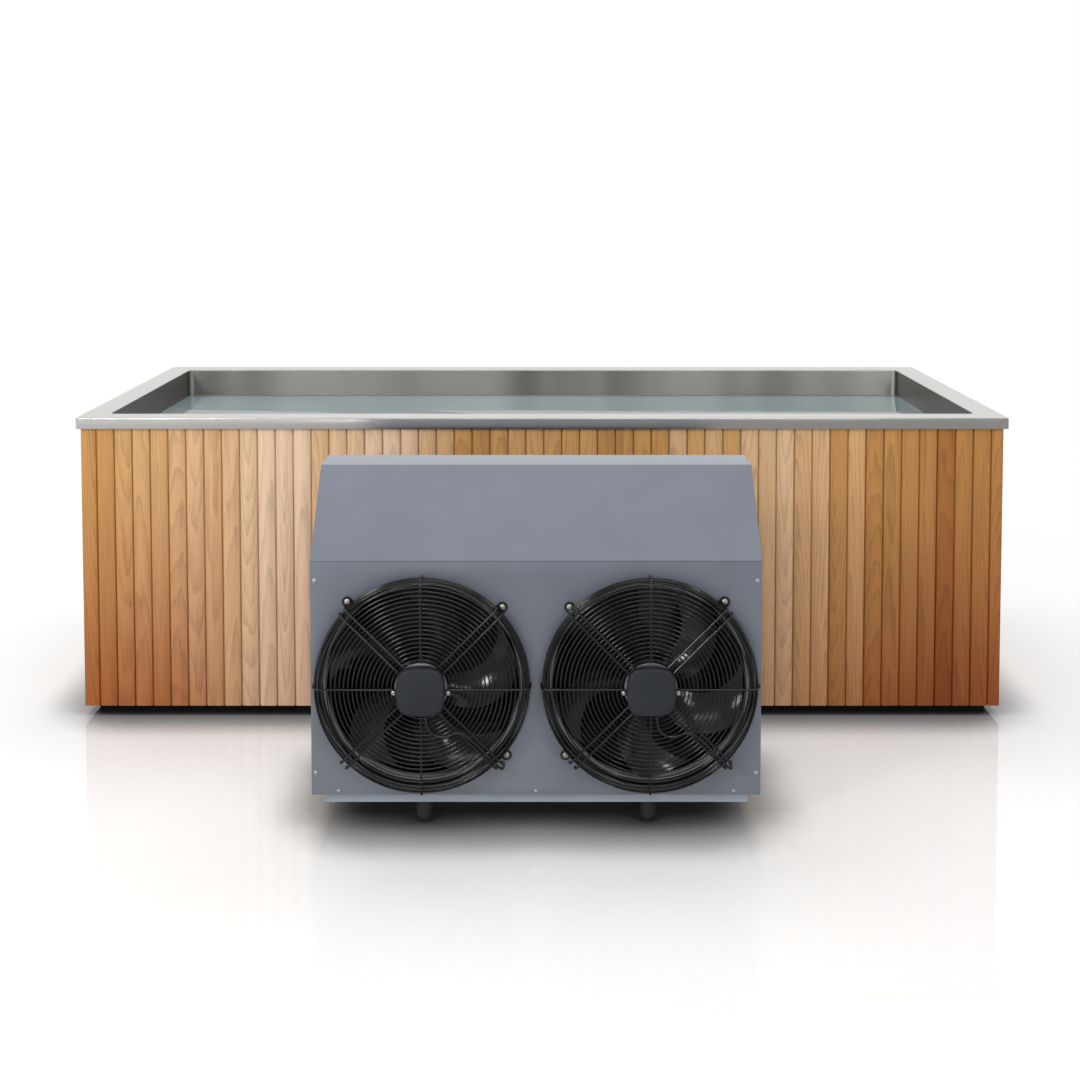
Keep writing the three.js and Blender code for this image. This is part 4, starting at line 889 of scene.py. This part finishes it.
def returns(form, low, high, inner_y, outer_y):
    """The two upright edges of a panel, folded back along the sides."""
    for x0, x1 in ((low.x, low.x + SHEET), (high.x - SHEET, high.x)):
        y0, y1 = sorted((inner_y, outer_y))
        form.add(block((x0, y0, low.z), (x1, y1, high.z)))


def front_panel():
    outline = fillet(rectangle(panel_low.x, panel_low.z, panel_high.x, panel_high.z), 1 * MM, 2)
    holes = [circle(fan.x, fan.z, HOLE_RADIUS) for fan in FANS]
    form = Form().add(sheet_with_holes(outline, holes, panel_y, panel_y + SHEET, 0.5 * MM))
    returns(form, panel_low, panel_high, panel_y + SHEET, panel_y + PANEL_RETURN)
    piece("front_sheet", form, powder_coat, ["front_panel"], smooth=25)


def side_panels():
    """Side sheets with their slots, and the pressed blade behind each slot."""
    for side in ("left", "right"):
        softened(side + "_side_panel", powder_coat, 0.4 * MM)


def rear_panel():
    softened("rear_panel", powder_coat, 0.4 * MM)


SCREW_RADIUS = 4.6 * MM
SCREW_HEIGHT = 2.2 * MM


def screw(form, x, y, z, radius=SCREW_RADIUS, face=-1):
    """Pan head with a cross recess, on a face that looks along Y (face -1 looks to the front)."""
    segments = 24
    shares = (0.14, 0.3, 0.46, 0.6, 0.8, 0.94, 1.0)
    loops = []
    for share in shares:
        loop = []
        for k in range(segments):
            a = 2 * math.pi * k / segments + math.pi / 4
            u, v = share * math.cos(a), share * math.sin(a)
            height = math.sqrt(max(0.0, 1 - 0.8 * share ** 2))
            if share < 0.55 and min(abs(u), abs(v)) < 0.13:
                height -= 0.45
            loop.append((radius * u, face * SCREW_HEIGHT * height * radius / SCREW_RADIUS, radius * v))
        loops.append(loop)
    loops.append([(p[0], 0.0, p[2]) for p in loops[-1]])
    form.add(skin(loops), place(x, y, z))


def panel_screws():
    """Screws along the edges of the front panel."""
    form = Form()
    edge_in = 9 * MM
    for x in (panel_low.x + edge_in, panel_high.x - edge_in):
        for z in (panel_low.z + 46 * MM, panel_high.z - 40 * MM):
            screw(form, x, panel_y, z)
    for share in (0.06, 0.5, 0.94):
        x = panel_low.x + share * (panel_high.x - panel_low.x)
        screw(form, x, panel_y, panel_low.z + 7 * MM, 4 * MM)
    for x in (rear_low.x + edge_in, rear_high.x - edge_in):
        for share in (0.08, 0.5, 0.92):
            screw(form, x, rear_high.y, rear_low.z + share * (rear_high.z - rear_low.z), face=1)
    obj = piece("panel_screws", form, zinc, smooth=50)


def feet():
    for depth in ("front", "rear"):
        # The skids take the lighter, painted-light copy of the powder coat.
        softened(depth + "_skid", skid_coat_painted_light, 0.8 * MM)
        for side in ("left", "right"):
            node = f"{depth}_{side}_foot"
            low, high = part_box(node)
            middle = (low + high) / 2
            radius = (high.x - low.x) / 2
            profile = [(10 * MM, low.z), (radius, 14 * MM), (radius, high.z)]
            profile = [(0.5 * MM, low.z)] + fillet(profile, 3 * MM, 4, closed=False) + [(0.5 * MM, high.z)]
            upright = place(middle.x, middle.y, 0) @ Matrix.Rotation(math.pi / 2, 4, "X")
            piece(node + "_turned", Form().add(turned(profile, 40), upright), rubber, [node])


# Fans

class Fan:
    def __init__(self, name, lugs, rest):
        low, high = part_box(name + "_fan_motor")
        self.name = name
        self.x = (low.x + high.x) / 2
        self.z = (low.z + high.z) / 2
        self.lugs = lugs
        self.rest = rest

    def place(self, degrees=0.0):
        """Onto the fan's axis at the front of the panel, turned about it."""
        return place(self.x, panel_y, self.z) @ Matrix.Rotation(math.radians(-degrees), 4, "Y")

    def point(self, radius, degrees):
        a = math.radians(degrees)
        return self.x + radius * math.cos(a), self.z + radius * math.sin(a)


FANS = [Fan("left", (44, 132, 319), -12), Fan("right", (48, 136, 221), 31)]
GUARD_RADIUS = 222 * MM
GUARD_STANDOFF = 36 * MM
GUARD_WIRE = 1.6 * MM
GUARD_BEND = 13 * MM
FIRST_RING = 61.5 * MM
GUARD_RINGS = 22
SPOKE_WIRE = 2.2 * MM
ARM_WIRE = 2.5 * MM
ARM_SPREAD = 16 * MM
PLATE_RADIUS = 48 * MM
LUG_REACH = 243 * MM
LUG_HALF = 11 * MM
LUG_THICKNESS = 2 * MM
SEAT = 0.3 * MM
ARM_PLANE = GUARD_STANDOFF + GUARD_WIRE + ARM_WIRE + SEAT


def basket(inner, outer, front, bend, back):
    """Section of a wire basket in [radius, y]: flat in front, then bent back to the panel."""
    corner = [(inner, -front), (outer, -front), (outer, -back)]
    return fillet(corner, bend, 8, closed=False)


def lug():
    """Screw lug of a guard: a strip down from the outer rings and a round-ended foot on the panel."""
    reach = LUG_REACH - LUG_HALF
    foot = [(GUARD_RADIUS - GUARD_WIRE, -LUG_HALF)]
    for k in range(13):
        a = math.pi * (k / 12 - 0.5)
        foot.append((reach + LUG_HALF * math.cos(a), LUG_HALF * math.sin(a)))
    foot.append((GUARD_RADIUS - GUARD_WIRE, LUG_HALF))
    form = Form().add(prism(foot, -SEAT - LUG_THICKNESS, -SEAT, "XZY"))
    low = (GUARD_RADIUS - GUARD_WIRE, -GUARD_STANDOFF / 2, -LUG_HALF)
    form.add(block(low, (GUARD_RADIUS + GUARD_WIRE, -SEAT - LUG_THICKNESS, LUG_HALF)))
    return form.verts, form.faces


def guard(fan):
    form = Form()
    screws = Form()
    section = basket(FIRST_RING, GUARD_RADIUS, GUARD_STANDOFF, GUARD_BEND, 4 * MM)
    for radius, y in spread(section, GUARD_RINGS):
        form.add(ring(radius, y, GUARD_WIRE), fan.place())
    lift = GUARD_WIRE + SPOKE_WIRE
    section = basket(57 * MM, GUARD_RADIUS + lift, GUARD_STANDOFF + lift, GUARD_BEND + lift, SEAT)
    for quarter in range(4):
        path = [(radius, y, 0.0) for radius, y in section]
        form.add(tube(path, SPOKE_WIRE, 10), fan.place(90 * quarter))
    for degrees in fan.lugs:
        form.add(lug(), fan.place(degrees))
        x, z = fan.point(LUG_REACH - LUG_HALF, degrees)
        screw(screws, x, panel_y - SEAT - LUG_THICKNESS, z, 5.6 * MM)
    piece(fan.name + "_guard_wires", form, wire_black, [fan.name + "_fan_guard"], smooth=60)
    obj = piece(fan.name + "_guard_screws", screws, zinc, smooth=50)


def motor_arms(fan):
    """Pairs of heavy wires that hook over the guard's edge and meet in the plate behind the cover."""
    form = Form()
    screws = Form()
    rim = [(PLATE_RADIUS, -ARM_PLANE - ARM_WIRE), (PLATE_RADIUS, -ARM_PLANE + ARM_WIRE)]
    form.add(turned(fillet(rim, 1 * MM, 2, False), 64), fan.place())
    section = basket(36 * MM, GUARD_RADIUS + 6 * MM, ARM_PLANE, 14 * MM, GUARD_STANDOFF - 10 * MM)
    for degrees in (45, 135, 225, 315):
        for side in (-ARM_SPREAD / 2, ARM_SPREAD / 2):
            path = [(radius, y, side) for radius, y in section]
            form.add(tube(path, ARM_WIRE, 10), fan.place(degrees))
    for degrees in (-6, 186):
        ear = [(36 * MM, -6 * MM), (55 * MM, -6 * MM), (62 * MM, -3 * MM), (62 * MM, 3 * MM),
               (55 * MM, 6 * MM), (36 * MM, 6 * MM)]
        ear = prism(fillet(ear, 3 * MM, 3), -ARM_PLANE - ARM_WIRE, -ARM_PLANE + ARM_WIRE, "XZY")
        form.add(ear, fan.place(degrees))
        x, z = fan.point(56 * MM, degrees)
        screw(screws, x, panel_y - ARM_PLANE - ARM_WIRE, z, 4.6 * MM)
    piece(fan.name + "_arm_wires", form, wire_black, [fan.name + "_motor_arms"], smooth=50)
    obj = piece(fan.name + "_motor_screws", screws, zinc, smooth=50)


SHROUD_FLANGE = 8 * MM
THROAT_RADIUS = 202 * MM
BELL_RADIUS = 213 * MM
BELL_DEPTH = 16 * MM
SHROUD_DEPTH = 72 * MM


def shroud(fan):
    face = SHEET + 0.3 * MM
    steps = 12

    def bell(offset):
        made = []
        for k in range(steps + 1):
            a = math.pi / 2 * k / steps
            radius = BELL_RADIUS - (BELL_RADIUS - THROAT_RADIUS) * math.sin(a)
            depth = face + BELL_DEPTH * (1 - math.cos(a))
            made.append((radius + offset * math.sin(a), depth + offset * math.cos(a)))
        return made

    profile = [(HOLE_RADIUS + SHROUD_FLANGE, face), (HOLE_RADIUS + SHROUD_FLANGE, face + SHEET)]
    profile += bell(SHEET) + [(THROAT_RADIUS + SHEET, SHROUD_DEPTH), (THROAT_RADIUS, SHROUD_DEPTH)]
    profile += bell(0)[::-1]
    shape = turned(profile, 128, closed=True)
    obj = piece(fan.name + "_bell_mouth", Form().add(shape, fan.place()), fan_black,
                [fan.name + "_fan_shroud"], smooth=40)
    # The faces of the rolled lip take the painted-highlight grey.
    obj.data.materials.append(bell_lip_painted_highlight)
    for polygon in obj.data.polygons:
        radius = math.hypot(polygon.center.x - fan.x, polygon.center.z - fan.z)
        depth = polygon.center.y - panel_y - face
        if radius < mixed(BELL_RADIUS, THROAT_RADIUS, 0.5) and depth < BELL_DEPTH:
            polygon.material_index = 1


def round_part(fan, name, node, corners, material, body=ROOT, edge=1.2 * MM):
    """A turned part of the fan from the corners of its half section in [radius, y]."""
    low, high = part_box(node)
    profile = [(radius, y - panel_y) for radius, y in corners(low.y, high.y)]
    shape = turned(fillet(profile, edge, 3), 72, closed=True)
    piece(name, Form().add(shape, fan.place()), material, [node], body=body, smooth=40)


SPINDLE = 11 * MM
MOTOR_RADIUS = 55 * MM
ROTOR_RADIUS = 56 * MM


def motor(fan):
    def corners(front, back):
        core = 0.5 * MM
        return [(core, front), (MOTOR_RADIUS, front), (MOTOR_RADIUS, front + 4 * MM),
                (MOTOR_RADIUS - 3 * MM, front + 7 * MM), (SPINDLE, front + 7 * MM), (SPINDLE, back), (core, back)]

    round_part(fan, fan.name + "_stator", fan.name + "_fan_motor", corners, cast_aluminium)


BLADES = 5
BLADE_THICKNESS = 3 * MM
BLADE_CAMBER = 8 * MM
ROOT_CHORD = 64 * MM
TIP_CHORD = 118 * MM
ROOT_PITCH = 46
TIP_PITCH = 20
BLADE_SWEEP = 34
TIP_CLEARANCE = 5 * MM


def blade(middle):
    """A cambered sickle blade, lofted from root to tip with thinning rounded edges."""
    root = ROTOR_RADIUS - 1 * MM
    tip = THROAT_RADIUS - TIP_CLEARANCE
    stations = 14
    across = 10
    loops = []
    for i in range(stations + 1):
        t = i / stations
        radius = mixed(root, tip, t)
        chord = mixed(ROOT_CHORD, TIP_CHORD, t)
        pitch = math.radians(mixed(ROOT_PITCH, TIP_PITCH, t))
        sweep = math.radians(BLADE_SWEEP) * t * t
        loop = []
        for k in range(2 * across):
            share = k / across
            s = 0.5 - share if share <= 1 else share - 1.5
            side = 1 if share < 1 else -1
            thick = BLADE_THICKNESS / 2 * math.sqrt(max(0.03, 1 - (2 * s) ** 4))
            lift = BLADE_CAMBER * (1 - 4 * s * s) + side * thick
            along = chord * s
            round_trip = along * math.cos(pitch) - lift * math.sin(pitch)
            axial = along * math.sin(pitch) + lift * math.cos(pitch)
            a = sweep + round_trip / radius
            loop.append((radius * math.cos(a), middle + axial, radius * math.sin(a)))
        loops.append(loop)
    return skin(loops)


def impeller(fan):
    """The can of the rotor with the blades on it."""
    node = fan.name + "_fan_impeller"
    low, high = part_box(node)
    front, back = low.y - panel_y, high.y - panel_y
    bore = SPINDLE + 0.4 * MM
    can = [(bore, front), (ROTOR_RADIUS, front), (ROTOR_RADIUS, back - 5 * MM),
           (ROTOR_RADIUS - 5 * MM, back), (bore, back)]
    form = Form().add(turned(fillet(can, 1.5 * MM, 3), 72, closed=True), fan.place())
    for i in range(BLADES):
        form.add(blade((front + back) / 2), fan.place(fan.rest - 360 * i / BLADES))
    piece(fan.name + "_blades", form, blade_black, [node], body=fan.name + "_fan", smooth=45)


COVER_EDGE = 7 * MM
COVER_DOME = 1.5 * MM
COVER_POWER = 3.3


def squircle(half, y, segments=64):
    """A square with convex sides and very round corners, in the plane across Y."""
    loop = []
    for k in range(segments):
        a = 2 * math.pi * k / segments
        c, s = math.cos(a), math.sin(a)
        radius = half / (abs(c) ** COVER_POWER + abs(s) ** COVER_POWER) ** (1 / COVER_POWER)
        loop.append((radius * c, y, radius * s))
    return loop


def terminal_cover(fan):
    """Moulded cover with soft edges and a slightly domed face."""
    low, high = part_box(fan.name + "_terminal_cover")
    half = (high.x - low.x) / 2
    loops = [squircle(half - 0.8 * MM, high.y), squircle(half, high.y - 1 * MM)]
    for k in range(7):
        a = math.pi / 2 * k / 6
        y = low.y + COVER_DOME + COVER_EDGE * (1 - math.sin(a))
        loops.append(squircle(half - COVER_EDGE * (1 - math.cos(a)), y))
    for share in (0.4, 0.7, 0.95):
        inset = mixed(COVER_EDGE, half - 2 * MM, share)
        loops.append(squircle(half - inset, low.y + COVER_DOME * (1 - share) ** 2))
    node = fan.name + "_terminal_cover"
    piece(fan.name + "_cover", Form().add(skin(loops), place(fan.x, 0, fan.z)), cap_grey, [node], smooth=40)


LEAD_ROUTE = (
    (12, -54, -50.3), (12, -54, -64), (19, -53, -82), (34, -51, -93), (52, -49, -94), (70, -48, -88),
    (86, -47, -90), (101, -44, -102), (118, -41.5, -118), (148, -42.5, -149), (160, -41.5, -161),
    (167, -31, -169), (169, -14, -171.5), (169, 9, -172))
LEAD_RADIUS = 2.8 * MM


def motor_lead(fan):
    """Sheathed lead from the cover along the lower right arm into the panel, with its ties."""
    route = smooth_route([(x * MM, y * MM, z * MM) for x, y, z in LEAD_ROUTE])
    form = Form().add(tube(route, LEAD_RADIUS, 12), fan.place())
    for reach in (140 * MM, 188 * MM):
        tie = ring(11.4 * MM, 0.0, 0.9 * MM, 36, 6)
        turn = Matrix.Rotation(math.pi / 2, 4, "Z") @ Matrix.Diagonal((0.42, 1, 1, 1))
        form.add(tie, fan.place(-45) @ place(reach, -ARM_PLANE, 0) @ turn)
    piece(fan.name + "_lead", form, wire_black, [fan.name + "_motor_lead"], smooth=60)


def fans():
    for fan in FANS:
        shroud(fan)
        guard(fan)
        motor_arms(fan)
        motor(fan)
        impeller(fan)
        terminal_cover(fan)
        motor_lead(fan)


# Rear of the chiller

FIN_PITCH = 3.2 * MM
FIN_THICKNESS = 0.35 * MM
FIN_LIP = 9 * MM


def coil():
    """Fin pack: thin plates side by side, on the block of tubes behind them."""
    low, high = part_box("condenser_coil")
    form = Form().add(block((low.x, low.y, low.z), (high.x, high.y - FIN_LIP, high.z)))
    count = int((high.x - low.x) / FIN_PITCH)
    for k in range(count):
        x = low.x + (k + 0.5) * FIN_PITCH
        form.add(block((x, high.y - FIN_LIP - 1 * MM, low.z + 1 * MM), (x + FIN_THICKNESS, high.y, high.z - 1 * MM)))
    piece("coil_fins", form, fin_stock, ["condenser_coil"], smooth=20)


GRID_WIRE = 1.6 * MM
GRID_PITCH = 26 * MM


def coil_guard():
    low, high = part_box("coil_guard")
    y0 = low.y + GRID_WIRE + 0.2 * MM
    y1 = high.y - GRID_WIRE + 0.6 * MM
    form = Form()
    columns = round((high.x - low.x) / GRID_PITCH)
    rows = round((high.z - low.z) / GRID_PITCH)
    for k in range(columns + 1):
        x = mixed(low.x + GRID_WIRE, high.x - GRID_WIRE, k / columns)
        form.add(tube([(x, y1, low.z), (x, y1, high.z)], GRID_WIRE))
    for k in range(rows + 1):
        z = mixed(low.z + GRID_WIRE, high.z - GRID_WIRE, k / rows)
        form.add(tube([(low.x, y0, z), (high.x, y0, z)], GRID_WIRE))
    piece("coil_guard_wires", form, wire_black, ["coil_guard"], smooth=60)


def ports():
    """Flanged water ports and the cable gland, turned smooth."""
    for node in ("water_outlet", "water_inlet"):
        x, z, y0, y1, flange = along_y(node)
        seat = rear_high.y + 0.3 * MM
        profile = [(12 * MM, y0), (16 * MM, y0), (16 * MM, seat), (flange, seat), (flange, seat + 6 * MM),
                   (20 * MM, seat + 6 * MM)]
        for k in range(4):
            at = seat + 12 * MM + k * 6 * MM
            profile += [(20 * MM, at), (18.6 * MM, at + 1.5 * MM), (20 * MM, at + 3 * MM)]
        profile += [(20 * MM, y1), (12 * MM, y1)]
        shape = turned(fillet(profile, 0.8 * MM, 2), 48, closed=True)
        piece(node + "_turned", Form().add(shape, place(x, 0, z)), dark_plastic, [node])
    x, z, y0, y1, outside = along_y("cable_gland")
    seat = rear_high.y + 0.3 * MM
    form = Form()
    stem = [(4.3 * MM, y0), (10 * MM, y0), (10 * MM, seat), (11.5 * MM, seat + 9 * MM),
            (11.5 * MM, seat + 14 * MM), (8 * MM, y1), (4.3 * MM, y1)]
    form.add(turned(fillet(stem, 0.8 * MM, 2), 36, closed=True), place(x, 0, z))
    form.add(turned([(outside, seat), (outside, seat + 9 * MM)], 6), place(x, 0, z))
    piece("cable_gland_turned", form, dark_plastic, ["cable_gland"], smooth=30)


def chiller():
    hood()
    front_panel()
    side_panels()
    rear_panel()
    panel_screws()
    feet()
    fans()
    coil()
    coil_guard()
    ports()


# Stage: floor, light and camera

# Strength of the floor's painted glow on the right, as reflections see it.
PAINTED_GLOW_RIGHT = 0.38
# How far the floor's painted contact shadow reaches.
PAINTED_SHADOW_REACH = 0.18


def floor():
    reach = 30
    mesh = bpy.data.meshes.new("floor")
    mesh.from_pydata([(-reach, -reach, 0), (reach, -reach, 0), (reach, reach, 0), (-reach, reach, 0)],
                     [], [(0, 1, 2, 3)])
    obj = bpy.data.objects.new("floor", mesh)
    bpy.context.collection.objects.link(obj)
    s = Shader("floor", Roughness=0.01, IOR=1.8)
    fine = s.noise(s.position(), 40, 2)
    # Painted shadow: ambient occlusion darkens the floor's colour seen by the camera, and its glow, under and around
    # the part.
    shadow_occlusion = s.node("ShaderNodeAmbientOcclusion", samples=16)
    shadow_occlusion.inputs["Distance"].default_value = PAINTED_SHADOW_REACH
    painted_contact_shadow = s.ramp(shadow_occlusion.outputs["AO"], [(0.26, 0.02), (0.70, 0.44), (0.94, 1.0)])
    pale = s.ramp(fine, [(0.3, 0.80), (0.7, 0.82)])
    path = s.node("ShaderNodeLightPath")
    camera = path.outputs["Is Camera Ray"]
    gloss = s.math("MAXIMUM", path.outputs["Is Glossy Ray"], path.outputs["Is Transmission Ray"])
    s.into("Base Color", s.mix(camera, pale, s.mix(1.0, pale, painted_contact_shadow, "MULTIPLY")))
    # The floor glows white to the camera far off, as a backdrop; to reflections it glows as painted light, bright to
    # the left and fading to the right.
    backdrop_and_reflection_glow = s.node("ShaderNodeEmission")
    parts = s.node("ShaderNodeSeparateXYZ")
    s.link(s.position(), parts.inputs["Vector"])
    side = s.ramp(s.math("MULTIPLY_ADD", parts.outputs["X"], 0.2, 0.6), [(0.08, 1.0), (0.48, 0.50), (0.78, PAINTED_GLOW_RIGHT)])
    s.link(s.math("MULTIPLY", painted_contact_shadow, s.mix(gloss, (1.0, 1.0, 1.0), side)), backdrop_and_reflection_glow.inputs["Strength"])
    place_from_middle = s.node("ShaderNodeVectorMath", operation="LENGTH")
    s.link(s.position(), place_from_middle.inputs[0])
    far = s.ramp(s.math("DIVIDE", place_from_middle.outputs["Value"], 10.0),
                 [(0.12, 0.30), (0.30, 1.0)], "EASE")
    blend = s.node("ShaderNodeMixShader")
    s.link(s.math("MAXIMUM", s.math("MULTIPLY", far, camera), gloss), blend.inputs["Fac"])
    s.link(s.bsdf.outputs["BSDF"], blend.inputs[1])
    s.link(backdrop_and_reflection_glow.outputs["Emission"], blend.inputs[2])
    s.link(blend.outputs["Shader"], s.tree.nodes["Material Output"].inputs["Surface"])
    mesh.materials.append(s.material)


WORLD_FILL = 0.76
STUDIO_FRONT = 0.36


def world():
    """White to the camera. Gloss sees a studio that is white behind and above, darker in front."""
    made = bpy.data.worlds.new("studio")
    bpy.context.scene.world = made
    made.use_nodes = True
    tree = made.node_tree
    tree.nodes.clear()

    def node(kind, inputs, **settings):
        created = tree.nodes.new(kind)
        for key, value in settings.items():
            setattr(created, key, value)
        for key, value in inputs.items():
            if isinstance(value, (int, float, tuple)):
                created.inputs[key].default_value = value
            else:
                tree.links.new(value, created.inputs[key])
        return created

    path = node("ShaderNodeLightPath", {})
    direction = node("ShaderNodeTexCoord", {}).outputs["Generated"]
    parts = node("ShaderNodeSeparateXYZ", {"Vector": direction})
    behind = node("ShaderNodeMapRange", {"Value": parts.outputs["Y"], "From Min": -0.45, "From Max": 0.3,
                                         "To Min": STUDIO_FRONT, "To Max": 1.0}).outputs["Result"]
    above = node("ShaderNodeMapRange", {"Value": parts.outputs["Z"], "From Min": 0.6,
                                        "From Max": 1.0}).outputs["Result"]
    studio = node("ShaderNodeMath", {0: behind, 1: above}, operation="MAXIMUM").outputs["Value"]
    gloss = node("ShaderNodeMath", {0: path.outputs["Is Glossy Ray"], 1: path.outputs["Is Transmission Ray"]},
                 operation="MAXIMUM").outputs["Value"]
    bounced = node("ShaderNodeMix", {"Factor": gloss, 2: WORLD_FILL, 3: studio}).outputs[0]
    strength = node("ShaderNodeMix", {"Factor": path.outputs["Is Camera Ray"], 2: bounced, 3: 1.0}).outputs[0]
    light = node("ShaderNodeBackground", {"Color": (1.0, 1.0, 1.0, 1.0), "Strength": strength})
    node("ShaderNodeOutputWorld", {"Surface": light.outputs["Background"]})


def lamp(name, location, target, size, power):
    data = bpy.data.lights.new(name, "AREA")
    data.shape = "RECTANGLE"
    data.size, data.size_y = size
    data.energy = power
    obj = bpy.data.objects.new(name, data)
    obj.location = location
    obj.rotation_euler = (Vector(target) - Vector(location)).to_track_quat("-Z", "Y").to_euler()
    bpy.context.collection.objects.link(obj)
    return obj


def lamps():
    overhead = lamp("overhead", (-0.3, 0.8, 3.3), (0, 0, 0.3), (3.4, 1.8), 85)
    overhead.visible_glossy = False  # the floor and the water would mirror its outline
    lamp("key", (-2.4, -3.3, 2.4), (-0.2, -0.4, 0.4), (0.55, 0.75), 40)
    lamp("strip", (0.4, -2.6, 3.0), (0, -0.8, 0.4), (2.2, 0.35), 16)
    lamp("low", (-0.6, -3.6, 0.4), (0, -0.8, 0.35), (0.7, 0.35), 5)
    lamp("side", (1.5, -3.1, 1.7), (0, -0.8, 0.35), (0.35, 0.5), 7)


CAMERA_PLACE = (4.4 * MM, -3728.1 * MM, 1371.8 * MM)
CAMERA_PITCH = 3.0
CAMERA_LENS = 47.48
CAMERA_SHIFT = (-0.0036, -0.2693)


def camera():
    data = bpy.data.cameras.new("camera")
    data.lens = CAMERA_LENS
    data.sensor_width = 36.0
    data.shift_x, data.shift_y = CAMERA_SHIFT
    obj = bpy.data.objects.new("camera", data)
    obj.location = CAMERA_PLACE
    obj.rotation_euler = (math.radians(90 - CAMERA_PITCH), 0, 0)
    bpy.context.collection.objects.link(obj)
    bpy.context.scene.camera = obj


dress_kept_nodes()
tub()
chiller()
floor()
world()
lamps()
camera()
bpy.context.scene.view_settings.view_transform = "Standard"
